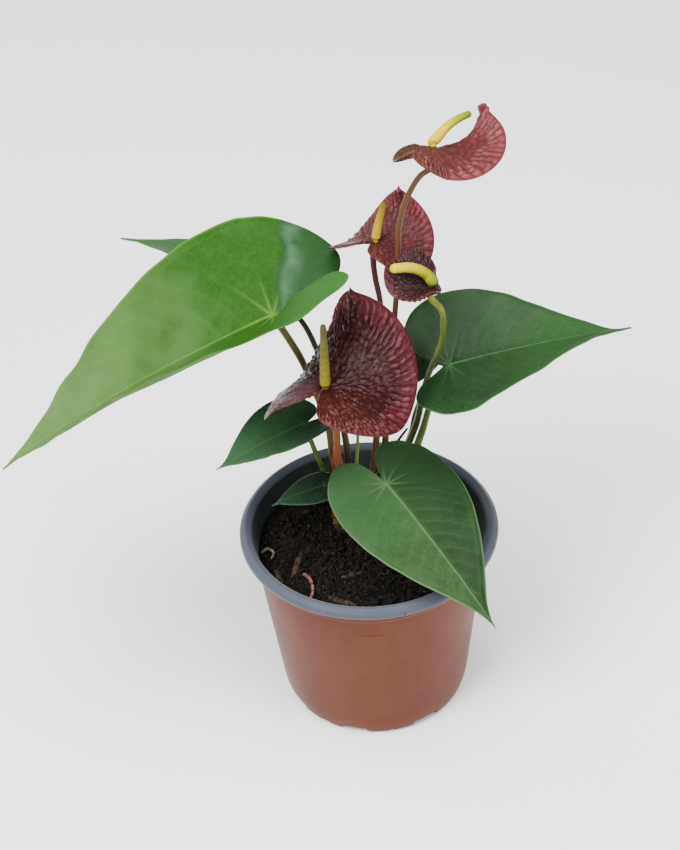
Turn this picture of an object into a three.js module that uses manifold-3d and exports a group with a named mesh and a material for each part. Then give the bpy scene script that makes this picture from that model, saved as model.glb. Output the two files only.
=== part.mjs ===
// A potted anthurium: seven heart-shaped leaves and four dark red flowers on long stalks,
// which grow from one crown in a 12 cm nursery pot. Millimetres, +Z up, the pot's axis on Z
// and its foot on z = 0. The plant is seen from -Y, so +X is its right and +Y its back.
//
// Every blade (leaf or spathe) is one flat heart outline that is folded along its midrib,
// curled across and bent along, as a real blade is, and then turned into place at its joint.

import * as THREE from 'three';
import { mergeVertices } from 'three/addons/utils/BufferGeometryUtils.js';
import Module from 'manifold-3d';

const wasm = await Module();
wasm.setup();

// ---------------------------------------------------------------- driving dimensions

const GAP = 0.3; // clearance between neighbouring solids

const POT = {
  height: 98,
  rimRadius: 60, // outside of the rolled rim
  rimDepth: 5.5, // height of the rim's lip
  rimEdge: 1, // bevel under the lip
  rimRound: 2.2, // height over which the rim's outer edge is rounded
  rimTop: 57, // outer radius of the rim's flat top
  mouthRadius: 54.2, // inside of the rim
  shoulderRadius: 55, // wall just under the rim
  shoulderDepth: 1.5, // height over which the wall turns out into the lip
  baseRadius: 45.5, // wall just above the bottom corner
  cornerHeight: 8,
  footRadius: 42.5, // flat underside
  footBevel: 1.6,
  wall: 1.5,
  floor: 1.8,
  stackLine: 12, // the stacking step, below the top
  stackStep: 0.5,
  stackHeight: 0.8,
  sectors: 48,
  drainHoles: 8,
  drainRadius: 4,
  drainCircle: 31,
  slots: 8, // drain slots cut out of the bottom corner
  slotStart: 0.67, // where the first one is, in steps from +X
  slotRadius: 45,
  slotLength: 7,
  slotWidth: 16,
  slotHeight: 2.6,
};

const MIX = { level: 85, bump: 0.9, rings: 5, sectors: 36, edgeGap: 0.6, cornerLift: 1 };

// The crown is a low stump with fleshy roots below. Each root is [direction, reach].
const CROWN = {
  x: 0,
  y: 16,
  radiusX: 19,
  radiusY: 13,
  top: 88,
  shoulder: 2,
  shoulderShare: 0.88, // how far the top narrows
  bottom: 66,
  bottomShare: 0.55,
  sectors: 24,
  roots: [[23, 16], [95, 18.6], [167, 13.4], [239, 16], [311, 18.5]],
  rootRadius: 2.6,
  rootTipRadius: 1.4,
  rootStart: 5.5, // distance of a root's start from the crown's axis
  rootSeat: 4, // height of its start above the crown's bottom
  rootElbow: 0.7, // share of the reach where it turns down
  rootElbowDrop: 14,
  rootDrop: 34,
};

const LEAF_MESH = { spans: 14, rings: 4, thickness: 1.2 };
const SPATHE_MESH = { spans: 15, rings: 5, thickness: 1.2 };
const CREASE = 1.2; // radius that rounds the fold at a midrib

// How a raised lobe grows: over what reach behind the joint, how soon, up to which margin and
// from how near the notch. softness is the radius that rounds a creased lobe's fold.
const LOBE = { reach: 0.2, ease: 0.15, margin: 0.3, notch: 0.03, softness: 2 };

// Half outlines of a blade one unit long from its joint (0, 0) to its tip (1, 0). They run
// from the tip along one margin and round the basal lobe to the notch behind the joint.
const LEAF_OUTLINE = [
  [1, 0], [0.93, 0.014], [0.84, 0.055], [0.7, 0.145], [0.5, 0.26], [0.3, 0.34],
  [0.1, 0.365], [-0.08, 0.33], [-0.2, 0.24], [-0.245, 0.14], [-0.19, 0.05], [-0.04, 0],
];
const OPEN_LEAF_OUTLINE = [
  ...LEAF_OUTLINE.slice(0, 8), [-0.2, 0.26], [-0.235, 0.18], [-0.16, 0.085], [-0.035, 0],
];
const SPATHE_OUTLINE = [
  [1, 0], [0.93, 0.03], [0.82, 0.14], [0.62, 0.36], [0.38, 0.53], [0.12, 0.6],
  [-0.12, 0.57], [-0.3, 0.44], [-0.38, 0.27], [-0.33, 0.11], [-0.05, 0],
];
const SHORT_LOBE_OUTLINE = [
  ...SPATHE_OUTLINE.slice(0, 5), [0.15, 0.56], [-0.03, 0.46], [-0.13, 0.31], [-0.16, 0.17],
  [-0.11, 0.06], [-0.03, 0],
];

// A blade's angles are in degrees. heading turns it about Z from +X, pitch lifts its tip and
// roll turns it about its midrib. fold lifts both halves at the midrib, and foldDifference
// lifts one and lowers the other; foldAlong adds fold towards the tip and back adds it behind
// the joint, on the first and the second half. curl bends each half on, and curlDifference
// makes that unequal too. droop bends the midrib down over its length, lobes lifts the basal
// lobes and twist turns the tip about the midrib. sweep moves the tip sideways by a share of
// the length. cup raises the first half's lobe, by a share of the length. crease turns the
// second half's lobe down beyond a line at an angle from the midrib, with a slope.
// A stalk has its foot on the crown, the points it passes through and its radius at both ends.
const LEAVES = {
  left_large: {
    joint: [-36.5, 9, 211.6], heading: -171.5, pitch: -20, roll: -27.5, length: 148, width: 0.96,
    fold: 23.3, foldDifference: 27, back: [13, -67], curl: 44.6, droop: 22, lobes: -26, twist: 8,
    cup: 0.19, crease: [112, 0.3],
    foot: [-9.5, 16.5], radius: [2.3, 1.6],
    route: [[-12, 16.5, 108], [-14.5, 17.5, 123], [-16, 17, 143], [-21.2, 14.5, 166.5], [-26, 12, 186]],
  },
  back_left: {
    joint: [-35.3, 52.3, 196.6], heading: 154, pitch: 15.5, roll: 14, length: 80, width: 0.82,
    fold: 13, curl: 0, droop: 17, lobes: 11, twist: 2,
    foot: [-7, 22], radius: [2, 1.3],
    route: [[-8, 22, 110], [-9, 25, 131], [-15, 32, 154], [-19, 37, 170], [-26, 44.5, 183]],
  },
  left_lower: {
    joint: [-26.6, -2, 159.7], heading: -144, pitch: 4, roll: 0, length: 47, width: 1.01,
    fold: 19, curl: 9, droop: 9, lobes: 9, twist: -13,
    foot: [-14.5, 13], radius: [1.9, 1.2],
    route: [[-16, 13, 104], [-18.5, 11.5, 118], [-20.5, 10, 126], [-22.5, 5, 138], [-24.5, 0.5, 149]],
  },
  left_small: {
    joint: [-19, -2, 123], heading: -166, pitch: -5, roll: -2, length: 26, width: 1,
    fold: 1, curl: -7, droop: 14, lobes: 11, twist: -9,
    foot: [-10, 8.5], radius: [1.6, 1],
    route: [[-12, 5, 100], [-16, 0, 112]],
  },
  front: {
    joint: [9, -8, 127], heading: -59, pitch: -9, roll: 5, length: 85, width: 0.95,
    fold: 5, curl: -15, droop: 21, lobes: 10, twist: 3, sweep: 0.02,
    foot: [4, 12], radius: [2.2, 1.5],
    route: [[6, 12, 100], [8.5, 7, 111], [9, -2, 117]],
  },
  right_large: {
    joint: [39, 5, 183], heading: 5, pitch: 11, roll: 20, length: 81, width: 1.13,
    fold: 19, curl: 5, droop: 9, lobes: 103, twist: -37, sweep: -0.02,
    outline: OPEN_LEAF_OUTLINE, foot: [13, 12.5], radius: [2.2, 1.5],
    route: [[17.5, 14.5, 108], [22.5, 17, 122], [27, 18, 136], [31, 12, 157], [36, 7, 171]],
  },
  right_small: {
    joint: [32, 24, 179], heading: -158, pitch: -38, roll: -10, length: 30, width: 1,
    fold: 9, curl: 4, droop: 27, lobes: 11, twist: -5,
    foot: [8.5, 23.5], radius: [1.7, 1],
    route: [[12, 25.5, 106], [21, 27, 124], [24, 27, 138], [27.5, 27, 150], [32, 28, 164]],
  },
};

// A flower's spathe stands at the top of its peduncle, and its spadix rises from the joint.
const FLOWERS = {
  front: {
    joint: [-15, -25, 197], heading: 57, pitch: -3.3, roll: -1.6, length: 53, width: 1.16,
    fold: -4.3, foldAlong: -35.4, foldDifference: 5.8, back: [-60, -23], curl: -68.7,
    curlDifference: -41.5, droop: -119, lobes: 1, twist: -1,
    foot: [-3, 9.5], radius: [2.2, 1.5],
    route: [[-8, 9, 108], [-12, 6, 129], [-12, -3, 149], [-12, -12, 165], [-14, -20, 181]],
    spadix: { radius: [2.3, 1.2], bends: [[0.3, 0.6, 12], [0.8, 0, 33]] },
  },
  middle: {
    joint: [9.3, 28, 233.4], heading: 49, pitch: -18, roll: -3, length: 33, width: 1.21,
    fold: -17, foldAlong: -5, curl: -21, droop: -127, lobes: 1, twist: 2,
    foot: [-1, 17], radius: [1.9, 1.3],
    route: [[3, 20, 110], [6, 21, 133], [8.5, 21.5, 168], [10.3, 22, 205], [8.6, 25, 217.5]],
    spadix: { radius: [1.9, 1.2], bends: [[1.4, 0.5, 8], [4.4, 0.3, 19.6]] },
  },
  top: {
    joint: [34, 8, 290], heading: 9, pitch: -12, roll: -51, length: 33.5, width: 1.42,
    fold: -19, foldAlong: -8, foldDifference: 18, back: [-30, -16], curl: 19,
    curlDifference: 49, droop: -85, lobes: -63, twist: -8,
    foot: [1.5, 24.5], radius: [1.9, 1.2],
    route: [[8, 25, 108], [10, 22, 130], [13, 20, 165], [16.6, 9.5, 214], [17.9, 4.8, 236.5],
      [19, 3, 257], [22, 3, 269], [28, 3.5, 280]],
    spadix: {
      radius: [2.3, 1.3],
      bends: [[1.8, 3, 3], [5.7, 6, 5.8], [10.7, 8.3, 8], [16, 9.5, 9.6]],
    },
  },
  right: {
    joint: [31, -10, 236], heading: 176, pitch: 5, roll: -14, length: 25.5, width: 1.24,
    fold: -5, foldAlong: -11.5, foldDifference: 16, back: [-28, -362], curl: 71,
    curlDifference: 32.5, droop: -75, lobes: 8.5, twist: -55.5, outline: SHORT_LOBE_OUTLINE,
    foot: [10.5, 17.5], radius: [1.9, 1.3],
    route: [[14, 19, 108], [20, 21.5, 124], [24.5, 22, 137], [27, 14, 158], [28.5, 9, 170],
      [31, 4.3, 182.5], [35, 1, 197], [36, -3, 209], [35, -8, 222]],
    spadix: {
      radius: [2.4, 1.8],
      bends: [[-1.1, 1.4, 3.8], [-3.6, 0.9, 6.5], [-8.4, -1, 10], [-16.8, -4.4, 12.3]],
    },
  },
};

// Dry sheaths that once wrapped a bud and still clasp the stalk: where they start and end on
// it, as shares of its length, and the side they face, in degrees from +X.
const SHEATHS = [
  { stalk: LEAVES.left_large, from: 0.14, to: 0.34, facing: -60, spread: 80 },
  { stalk: LEAVES.right_large, from: 0.1, to: 0.3, facing: 20, spread: 70 },
  { stalk: LEAVES.left_lower, from: 0.06, to: 0.32, facing: -75, spread: 80 },
];
const SHEATH_THICKNESS = 1;
const SHEATH_STEPS = 5;
const SHEATH_COLUMNS = 4;
const SHEATH_NARROWING = 0.75; // share of its width that a sheath loses at its top

// Young stalks, still bare spikes.
const SHOOTS = [
  {
    foot: [5.5, 18],
    route: [[7, 19.5, 104], [10, 20.5, 119], [16, 20.5, 129], [20.5, 20.5, 136]],
    radius: [1.7, 0.5],
  },
  {
    foot: [-4.5, 13.8],
    route: [[-4.4, 13.8, 104], [-4.3, 13.8, 118], [-3.2, 14, 131], [-2.3, 14, 147]],
    radius: [1.3, 0.6],
  },
];

// Pieces that lie on the mix: centre, turn in degrees, length, width and height.
const CHIPS = [
  { at: [-34, -13], turn: 70, size: [15, 5, 2.4] },
  { at: [-43, -20], turn: 120, size: [8, 4, 2] },
  { at: [-14, -40], turn: -35, size: [12, 5, 2.2] },
  { at: [38, -18], turn: 20, size: [13, 6, 2.4] },
  { at: [-8, -22], turn: 10, size: [10, 4, 2] },
  { at: [30, 38], turn: -50, size: [12, 5.5, 2.2] },
];
const CHIP_OUTLINE = [
  [-0.5, -0.3], [-0.2, -0.5], [0.4, -0.42], [0.5, 0.1], [0.25, 0.5], [-0.38, 0.36],
];
const CHIP_REACH = 0.35; // share of its length over which a chip feels for the mix
const SURFACE_ROOTS = [
  { points: [[-51, -4], [-48, -2], [-45, -5], [-46, -10]], radius: 1.1 },
  { points: [[-31, -21], [-28, -27], [-27, -34], [-30, -40]], radius: 1.2 },
];

// ---------------------------------------------------------------- materials

const MATERIALS = {
  pot: new THREE.MeshStandardMaterial({ color: 0x965c48, roughness: 0.45, metalness: 0 }),
  mix: new THREE.MeshStandardMaterial({ color: 0x241b16, roughness: 0.95, metalness: 0 }),
  crown: new THREE.MeshStandardMaterial({ color: 0x6a5638, roughness: 0.8, metalness: 0 }),
  leaf: new THREE.MeshStandardMaterial({ color: 0x3d6b39, roughness: 0.35, metalness: 0 }),
  freshLeaf: new THREE.MeshStandardMaterial({ color: 0x5f9646, roughness: 0.35, metalness: 0 }),
  stalk: new THREE.MeshStandardMaterial({ color: 0x5c6b35, roughness: 0.5, metalness: 0 }),
  redStalk: new THREE.MeshStandardMaterial({ color: 0x6a3f33, roughness: 0.5, metalness: 0 }),
  spathe: new THREE.MeshStandardMaterial({ color: 0x6d2529, roughness: 0.35, metalness: 0 }),
  spadix: new THREE.MeshStandardMaterial({ color: 0xbdb845, roughness: 0.6, metalness: 0 }),
  sheath: new THREE.MeshStandardMaterial({ color: 0xa86a42, roughness: 0.85, metalness: 0 }),
  bark: new THREE.MeshStandardMaterial({ color: 0x6b4a34, roughness: 0.9, metalness: 0 }),
};

const plant = new THREE.Group();

// ---------------------------------------------------------------- helpers

const degrees = THREE.MathUtils.degToRad;

function addMesh(name, geometry, material) {
  geometry.computeVertexNormals();
  const mesh = new THREE.Mesh(geometry, material);
  mesh.name = name;
  plant.add(mesh);
  return mesh;
}

function indexedGeometry(points, triangles) {
  const geometry = new THREE.BufferGeometry();
  geometry.setAttribute('position', new THREE.Float32BufferAttribute(points.flat(), 3));
  geometry.setIndex(triangles.flat());
  return geometry;
}

function toSolid(geometry) {
  const bare = geometry.clone();
  bare.deleteAttribute('normal');
  bare.deleteAttribute('uv');
  const merged = mergeVertices(bare, 1e-4);
  return new wasm.Manifold(new wasm.Mesh({
    numProp: 3,
    vertProperties: new Float32Array(merged.attributes.position.array),
    triVerts: new Uint32Array(merged.index.array),
  }));
}

function fromSolid(solid) {
  const mesh = solid.getMesh();
  const geometry = new THREE.BufferGeometry();
  geometry.setAttribute('position', new THREE.BufferAttribute(mesh.vertProperties, 3));
  geometry.setIndex(new THREE.BufferAttribute(mesh.triVerts, 1));
  return geometry;
}

// A lathe turned so that its axis is Z. The profile is [radius, height] pairs.
function lathe(profile, segments) {
  const points = profile.map(([radius, height]) => new THREE.Vector2(radius, height));
  return new THREE.LatheGeometry(points, segments).rotateX(Math.PI / 2);
}

function cylinder(radius, height, sides, x, y, z) {
  return new THREE.CylinderGeometry(radius, radius, height, sides).rotateX(Math.PI / 2)
    .translate(x, y, z);
}

// A closed tube with rounded ends along a smooth curve, with its radius given along the way.
function taperedTube(points, radiusAt, sides, steps) {
  const curve = new THREE.CatmullRomCurve3(points, false, 'centripetal');
  const frames = curve.computeFrenetFrames(steps, false);
  const vertices = [curve.getPointAt(0).toArray()];
  for (let step = 0; step <= steps; step += 1) {
    const centre = curve.getPointAt(step / steps);
    const radius = radiusAt(step / steps);
    for (let side = 0; side < sides; side += 1) {
      const angle = (side / sides) * 2 * Math.PI;
      const point = centre.clone()
        .addScaledVector(frames.normals[step], Math.cos(angle) * radius)
        .addScaledVector(frames.binormals[step], Math.sin(angle) * radius);
      vertices.push(point.toArray());
    }
  }
  vertices.push(curve.getPointAt(1).toArray());
  const last = vertices.length - 1;
  const ring = (step, side) => 1 + step * sides + (side % sides);
  const triangles = [];
  for (let side = 0; side < sides; side += 1) {
    triangles.push([0, ring(0, side + 1), ring(0, side)]);
    for (let step = 0; step < steps; step += 1) {
      triangles.push([ring(step, side), ring(step, side + 1), ring(step + 1, side + 1)]);
      triangles.push([ring(step, side), ring(step + 1, side + 1), ring(step + 1, side)]);
    }
    triangles.push([last, ring(steps, side), ring(steps, side + 1)]);
  }
  return indexedGeometry(vertices, triangles);
}

// ---------------------------------------------------------------- blades

// Bending a line by `total` radians over a length of one: where it is after `u`, and its turn.
function bend(total, u) {
  const turn = total * u;
  if (Math.abs(total) < 1e-6) return { along: u, lift: 0, turn };
  return { along: Math.sin(turn) / total, lift: (1 - Math.cos(turn)) / total, turn };
}

function bladeAxes(blade) {
  const heading = degrees(blade.heading);
  const pitch = degrees(blade.pitch);
  const roll = degrees(blade.roll);
  const along = new THREE.Vector3(
    Math.cos(pitch) * Math.cos(heading), Math.cos(pitch) * Math.sin(heading), Math.sin(pitch));
  const level = new THREE.Vector3(-Math.sin(heading), Math.cos(heading), 0);
  const across = level.clone().applyAxisAngle(along, roll);
  const normal = along.clone().cross(across);
  return { along, across, normal };
}

// How far a lobe is raised or, beyond its crease, lowered.
function lobeLift(blade, u, v) {
  const distance = Math.abs(v);
  if (v > 0 && blade.cup) {
    const behind = (Math.max(0, -u) / LOBE.reach) ** 2;
    const eased = ((1 + LOBE.ease) * behind) / (behind + LOBE.ease);
    const fromNotch = distance ** 2 / (distance ** 2 + LOBE.notch ** 2);
    return blade.cup * blade.length * eased * fromNotch * (1 - distance / LOBE.margin);
  }
  if (v < 0 && blade.crease) {
    const [angle, slope] = [degrees(blade.crease[0]), blade.crease[1]];
    const share = distance * blade.width * Math.cos(angle) - u * Math.sin(angle);
    const beyond = share * blade.length;
    return (-slope * (Math.hypot(beyond, LOBE.softness) + beyond)) / 2;
  }
  return 0;
}

// The blade's middle surface at (u, v), in lengths from the joint along and across.
function bladePoint(blade, axes, u, v) {
  const side = Math.sign(v);
  const distance = Math.abs(v) * blade.width;
  const [firstBack, secondBack] = blade.back ?? [0, 0];
  const behind = (side > 0 ? firstBack : secondBack) * Math.max(0, -u);
  const unequal = (blade.foldDifference ?? 0) * side;
  const fold = degrees(blade.fold + (blade.foldAlong ?? 0) * u + unequal + behind);
  const curl = degrees((blade.curl || 0.01) + (blade.curlDifference ?? 0) * side);
  const out = (Math.sin(fold + curl * distance) - Math.sin(fold)) / curl;
  const raised = (blade.length * (Math.cos(fold) - Math.cos(fold + curl * distance))) / curl;
  const lift = Math.sign(raised) * (Math.hypot(raised, CREASE) - CREASE);
  const spread = side * out * blade.length;
  const twist = degrees(blade.twist) * u;
  const y = spread * Math.cos(twist) - lift * Math.sin(twist);
  const z = spread * Math.sin(twist) + lift * Math.cos(twist) + lobeLift(blade, u, v);
  const midrib = bend(degrees(u > 0 ? -blade.droop : blade.lobes), u);
  const sideways = u > 0 ? (blade.sweep ?? 0) * blade.length * u * u : 0;
  return new THREE.Vector3(...blade.joint)
    .addScaledVector(axes.along, blade.length * midrib.along - z * Math.sin(midrib.turn))
    .addScaledVector(axes.across, y + sideways)
    .addScaledVector(axes.normal, blade.length * midrib.lift + z * Math.cos(midrib.turn));
}

function surfaceNormal(blade, axes, u, v) {
  const step = 0.01;
  const at = (stepU, stepV) => bladePoint(blade, axes, u + stepU, v + stepV);
  const lengthwise = at(step, 0).sub(at(-step, 0));
  const sideways = at(0, step).sub(at(0, -step));
  return lengthwise.cross(sideways).normalize();
}

// A closed blade of even thickness: rings about the joint, with `spans` points on each half.
function bladeGeometry(blade, halfOutline, { spans, rings, thickness }) {
  const axes = bladeAxes(blade);
  const curve = new THREE.SplineCurve(halfOutline.map(([u, v]) => new THREE.Vector2(u, v)));
  const half = curve.getPoints(spans).map((point) => [point.x, point.y]);
  const mirrored = half.slice(1, -1).reverse().map(([u, v]) => [u, -v]);
  const outline = [...half, ...mirrored];
  const sectors = outline.length;
  const flat = [[0, 0]];
  for (let ring = 1; ring <= rings; ring += 1) {
    outline.forEach(([u, v]) => flat.push([(u * ring) / rings, (v * ring) / rings]));
  }
  const layer = (offset) => flat.map(([u, v]) => {
    const normal = surfaceNormal(blade, axes, u, v);
    return bladePoint(blade, axes, u, v).addScaledVector(normal, offset).toArray();
  });
  const points = [...layer(thickness / 2), ...layer(-thickness / 2)];
  const upper = (ring, sector) => (ring === 0 ? 0 : 1 + (ring - 1) * sectors + (sector % sectors));
  const lower = (ring, sector) => flat.length + upper(ring, sector);
  const triangles = [];
  for (let sector = 0; sector < sectors; sector += 1) {
    triangles.push([upper(0, 0), upper(1, sector), upper(1, sector + 1)]);
    triangles.push([lower(0, 0), lower(1, sector + 1), lower(1, sector)]);
    for (let ring = 1; ring < rings; ring += 1) {
      const next = ring + 1;
      triangles.push([upper(ring, sector), upper(next, sector), upper(next, sector + 1)]);
      triangles.push([upper(ring, sector), upper(next, sector + 1), upper(ring, sector + 1)]);
      triangles.push([lower(ring, sector), lower(next, sector + 1), lower(next, sector)]);
      triangles.push([lower(ring, sector), lower(ring, sector + 1), lower(next, sector + 1)]);
    }
    triangles.push([upper(rings, sector), lower(rings, sector), lower(rings, sector + 1)]);
    triangles.push([upper(rings, sector), lower(rings, sector + 1), upper(rings, sector + 1)]);
  }
  return indexedGeometry(points, triangles);
}

// ---------------------------------------------------------------- stalks and spadices

const FOOT_RUN = 5; // length of a stalk's first straight stretch
const END_RUN = 7; // and of its last
const STALK_SIDES = 8;
const STALK_STEPS = 14;
const TAPER_SHARE = 0.625; // share of a stalk over which it tapers
const WIDE_SHARE = 0.12; // share of a stalk that is widened above the crown
const WIDENING = 0.5;
const NECK = { share: 0.08, width: 0.6 }; // the thin start of a spadix
const ROUND_END = { share: 0.92, flat: 0.12 }; // where its end starts to be rounded
const SPADIX_START = 1.5; // height at which it leaves the direction of its seat
const LEAF_SEAT = GAP; // between a stalk's end and the blade above it
const SPATHE_SEAT = 0.7; // more, because a spathe's halves bend down beside the stalk
const SPADIX_SEAT = 0.5;

function stalkPoints(blade) {
  const isFlower = Boolean(blade.spadix);
  const { thickness } = isFlower ? SPATHE_MESH : LEAF_MESH;
  const seat = isFlower ? SPATHE_SEAT : LEAF_SEAT;
  const { normal } = bladeAxes(blade);
  const foot = new THREE.Vector3(blade.foot[0], blade.foot[1], CROWN.top + GAP);
  const above = foot.clone().add(new THREE.Vector3(0, 0, FOOT_RUN));
  const end = new THREE.Vector3(...blade.joint).addScaledVector(normal, -(thickness / 2 + seat));
  const beforeEnd = end.clone().addScaledVector(normal, -END_RUN);
  return [foot, above, ...blade.route.map((point) => new THREE.Vector3(...point)), beforeEnd, end];
}

function stalkRadius(blade, share) {
  const [footRadius, topRadius] = blade.radius;
  const taper = THREE.MathUtils.lerp(footRadius, topRadius, Math.min(1, share / TAPER_SHARE));
  return taper + WIDENING * Math.max(0, 1 - share / WIDE_SHARE);
}

function stalkGeometry(blade) {
  const radiusAt = (share) => stalkRadius(blade, share);
  return taperedTube(stalkPoints(blade), radiusAt, STALK_SIDES, STALK_STEPS);
}

function spadixGeometry(flower) {
  const { normal } = bladeAxes(flower);
  const joint = new THREE.Vector3(...flower.joint);
  const seat = SPATHE_MESH.thickness / 2 + SPADIX_SEAT;
  const start = joint.clone().addScaledVector(normal, seat);
  const next = start.clone().addScaledVector(normal, SPADIX_START);
  const bends = flower.spadix.bends.map((offset) => (
    joint.clone().add(new THREE.Vector3(...offset))
  ));
  const radiusAt = (share) => {
    const taper = THREE.MathUtils.lerp(...flower.spadix.radius, share);
    const neck = share < NECK.share ? NECK.width : 1;
    const ending = Math.max(0, (share - ROUND_END.share) / (1 - ROUND_END.share));
    return taper * neck * Math.sqrt(Math.max(ROUND_END.flat, 1 - ending ** 2));
  };
  return taperedTube([start, next, ...bends], radiusAt, STALK_SIDES, STALK_STEPS);
}

// ---------------------------------------------------------------- pot, mix and crown

const LIP = POT.height - POT.rimDepth;
const STACK = POT.height - POT.stackLine;

function wallRadius(height) {
  const share = THREE.MathUtils.inverseLerp(POT.cornerHeight, LIP, height);
  return THREE.MathUtils.lerp(POT.baseRadius, POT.shoulderRadius, THREE.MathUtils.clamp(share, 0, 1));
}

function potGeometry() {
  const innerStack = wallRadius(STACK) - POT.wall - POT.stackStep;
  const profile = [
    [0, 0],
    [POT.footRadius, 0],
    [POT.footRadius + POT.footBevel, POT.footBevel],
    [POT.baseRadius, POT.cornerHeight],
    [wallRadius(STACK) - POT.stackStep, STACK - POT.stackHeight],
    [wallRadius(STACK), STACK],
    [POT.shoulderRadius, LIP - POT.shoulderDepth],
    [POT.rimRadius - POT.rimEdge, LIP],
    [POT.rimRadius, LIP + POT.rimEdge],
    [POT.rimRadius, POT.height - POT.rimRound],
    [POT.rimTop + POT.rimEdge, POT.height - POT.rimEdge / 2],
    [POT.rimTop, POT.height],
    [POT.mouthRadius + POT.rimEdge, POT.height - POT.rimEdge],
    [POT.mouthRadius, POT.height - POT.rimRound],
    [innerStack, STACK - POT.stackHeight],
    [POT.baseRadius - POT.wall, POT.cornerHeight],
    [POT.footRadius - POT.rimEdge, POT.floor],
    [0, POT.floor],
  ];
  let solid = toSolid(lathe(profile, POT.sectors));
  const ring = (count, radius, start) => Array.from({ length: count }, (_, index) => {
    const angle = ((index + start) / count) * 2 * Math.PI;
    return { angle, x: radius * Math.cos(angle), y: radius * Math.sin(angle) };
  });
  for (const { x, y } of ring(POT.drainHoles, POT.drainCircle, 0)) {
    const hole = cylinder(POT.drainRadius, 4 * POT.floor, 12, x, y, 0);
    solid = solid.subtract(toSolid(hole));
  }
  for (const { angle, x, y } of ring(POT.slots, POT.slotRadius, POT.slotStart)) {
    const box = new THREE.BoxGeometry(POT.slotLength, POT.slotWidth, 2 * POT.slotHeight);
    solid = solid.subtract(toSolid(box.rotateZ(angle).translate(x, y, 0)));
  }
  return fromSolid(solid);
}

// The mix's top is a gently uneven surface.
function mixHeight(x, y) {
  const broad = Math.sin(x * 0.19 + 1) * Math.cos(y * 0.23);
  const fine = 0.5 * Math.sin(y * 0.41 + x * 0.13);
  return MIX.level + MIX.bump * (broad + fine);
}

// `grow` widens the crown to cut its place in the mix, and takes the cut out through the top.
function crownSolid(grow) {
  const top = CROWN.top + (grow > 0 ? 2 * CROWN.shoulder : 0);
  const wider = grow / CROWN.radiusY;
  const profile = [
    [0, CROWN.bottom - grow],
    [CROWN.bottomShare + wider, CROWN.bottom - grow],
    [1 + wider, (CROWN.bottom + CROWN.top) / 2],
    [1 + wider, CROWN.top - CROWN.shoulder],
    [CROWN.shoulderShare + wider, top],
    [0, top],
  ];
  const stump = lathe(profile, CROWN.sectors).scale(CROWN.radiusX, CROWN.radiusY, 1)
    .translate(CROWN.x, CROWN.y, 0);
  let solid = toSolid(stump);
  for (const [direction, reach] of CROWN.roots) {
    const angle = degrees(direction);
    const away = (distance, height) => new THREE.Vector3(
      CROWN.x + distance * Math.cos(angle), CROWN.y + distance * Math.sin(angle), height);
    const start = CROWN.bottom + CROWN.rootSeat;
    const points = [
      away(CROWN.rootStart, start),
      away(CROWN.rootStart + CROWN.rootElbow * reach, start - CROWN.rootElbowDrop),
      away(CROWN.rootStart + reach, start - CROWN.rootDrop - grow),
    ];
    const radiusAt = (share) => (
      THREE.MathUtils.lerp(CROWN.rootRadius, CROWN.rootTipRadius, share) + grow
    );
    solid = solid.add(toSolid(taperedTube(points, radiusAt, 8, 5)));
  }
  return solid;
}

// The mix fills the pot up to an uneven top and leaves the crown's place open.
function mixGeometry() {
  const bottom = POT.floor + GAP;
  const corner = POT.cornerHeight + MIX.cornerLift;
  const topRadius = wallRadius(MIX.level) - POT.wall - POT.stackStep - MIX.edgeGap;
  const circle = (radius, heightAt) => Array.from({ length: MIX.sectors }, (_, index) => {
    const angle = (index / MIX.sectors) * 2 * Math.PI;
    const x = radius * Math.cos(angle);
    const y = radius * Math.sin(angle);
    return [x, y, heightAt(x, y)];
  });
  const points = [[0, 0, mixHeight(0, 0)]];
  for (let ring = 1; ring <= MIX.rings; ring += 1) {
    points.push(...circle((topRadius * ring) / MIX.rings, mixHeight));
  }
  points.push(...circle(POT.baseRadius - POT.wall - MIX.edgeGap, () => corner));
  points.push(...circle(POT.footRadius - POT.rimEdge - MIX.edgeGap, () => bottom));
  points.push([0, 0, bottom]);
  const rows = MIX.rings + 2;
  const at = (row, index) => 1 + (row - 1) * MIX.sectors + (index % MIX.sectors);
  const triangles = [];
  for (let index = 0; index < MIX.sectors; index += 1) {
    triangles.push([0, at(1, index), at(1, index + 1)]);
    for (let row = 1; row < rows; row += 1) {
      triangles.push([at(row, index), at(row + 1, index), at(row + 1, index + 1)]);
      triangles.push([at(row, index), at(row + 1, index + 1), at(row, index + 1)]);
    }
    triangles.push([points.length - 1, at(rows, index + 1), at(rows, index)]);
  }
  return fromSolid(toSolid(indexedGeometry(points, triangles)).subtract(crownSolid(GAP)));
}

// ---------------------------------------------------------------- small pieces

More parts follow.
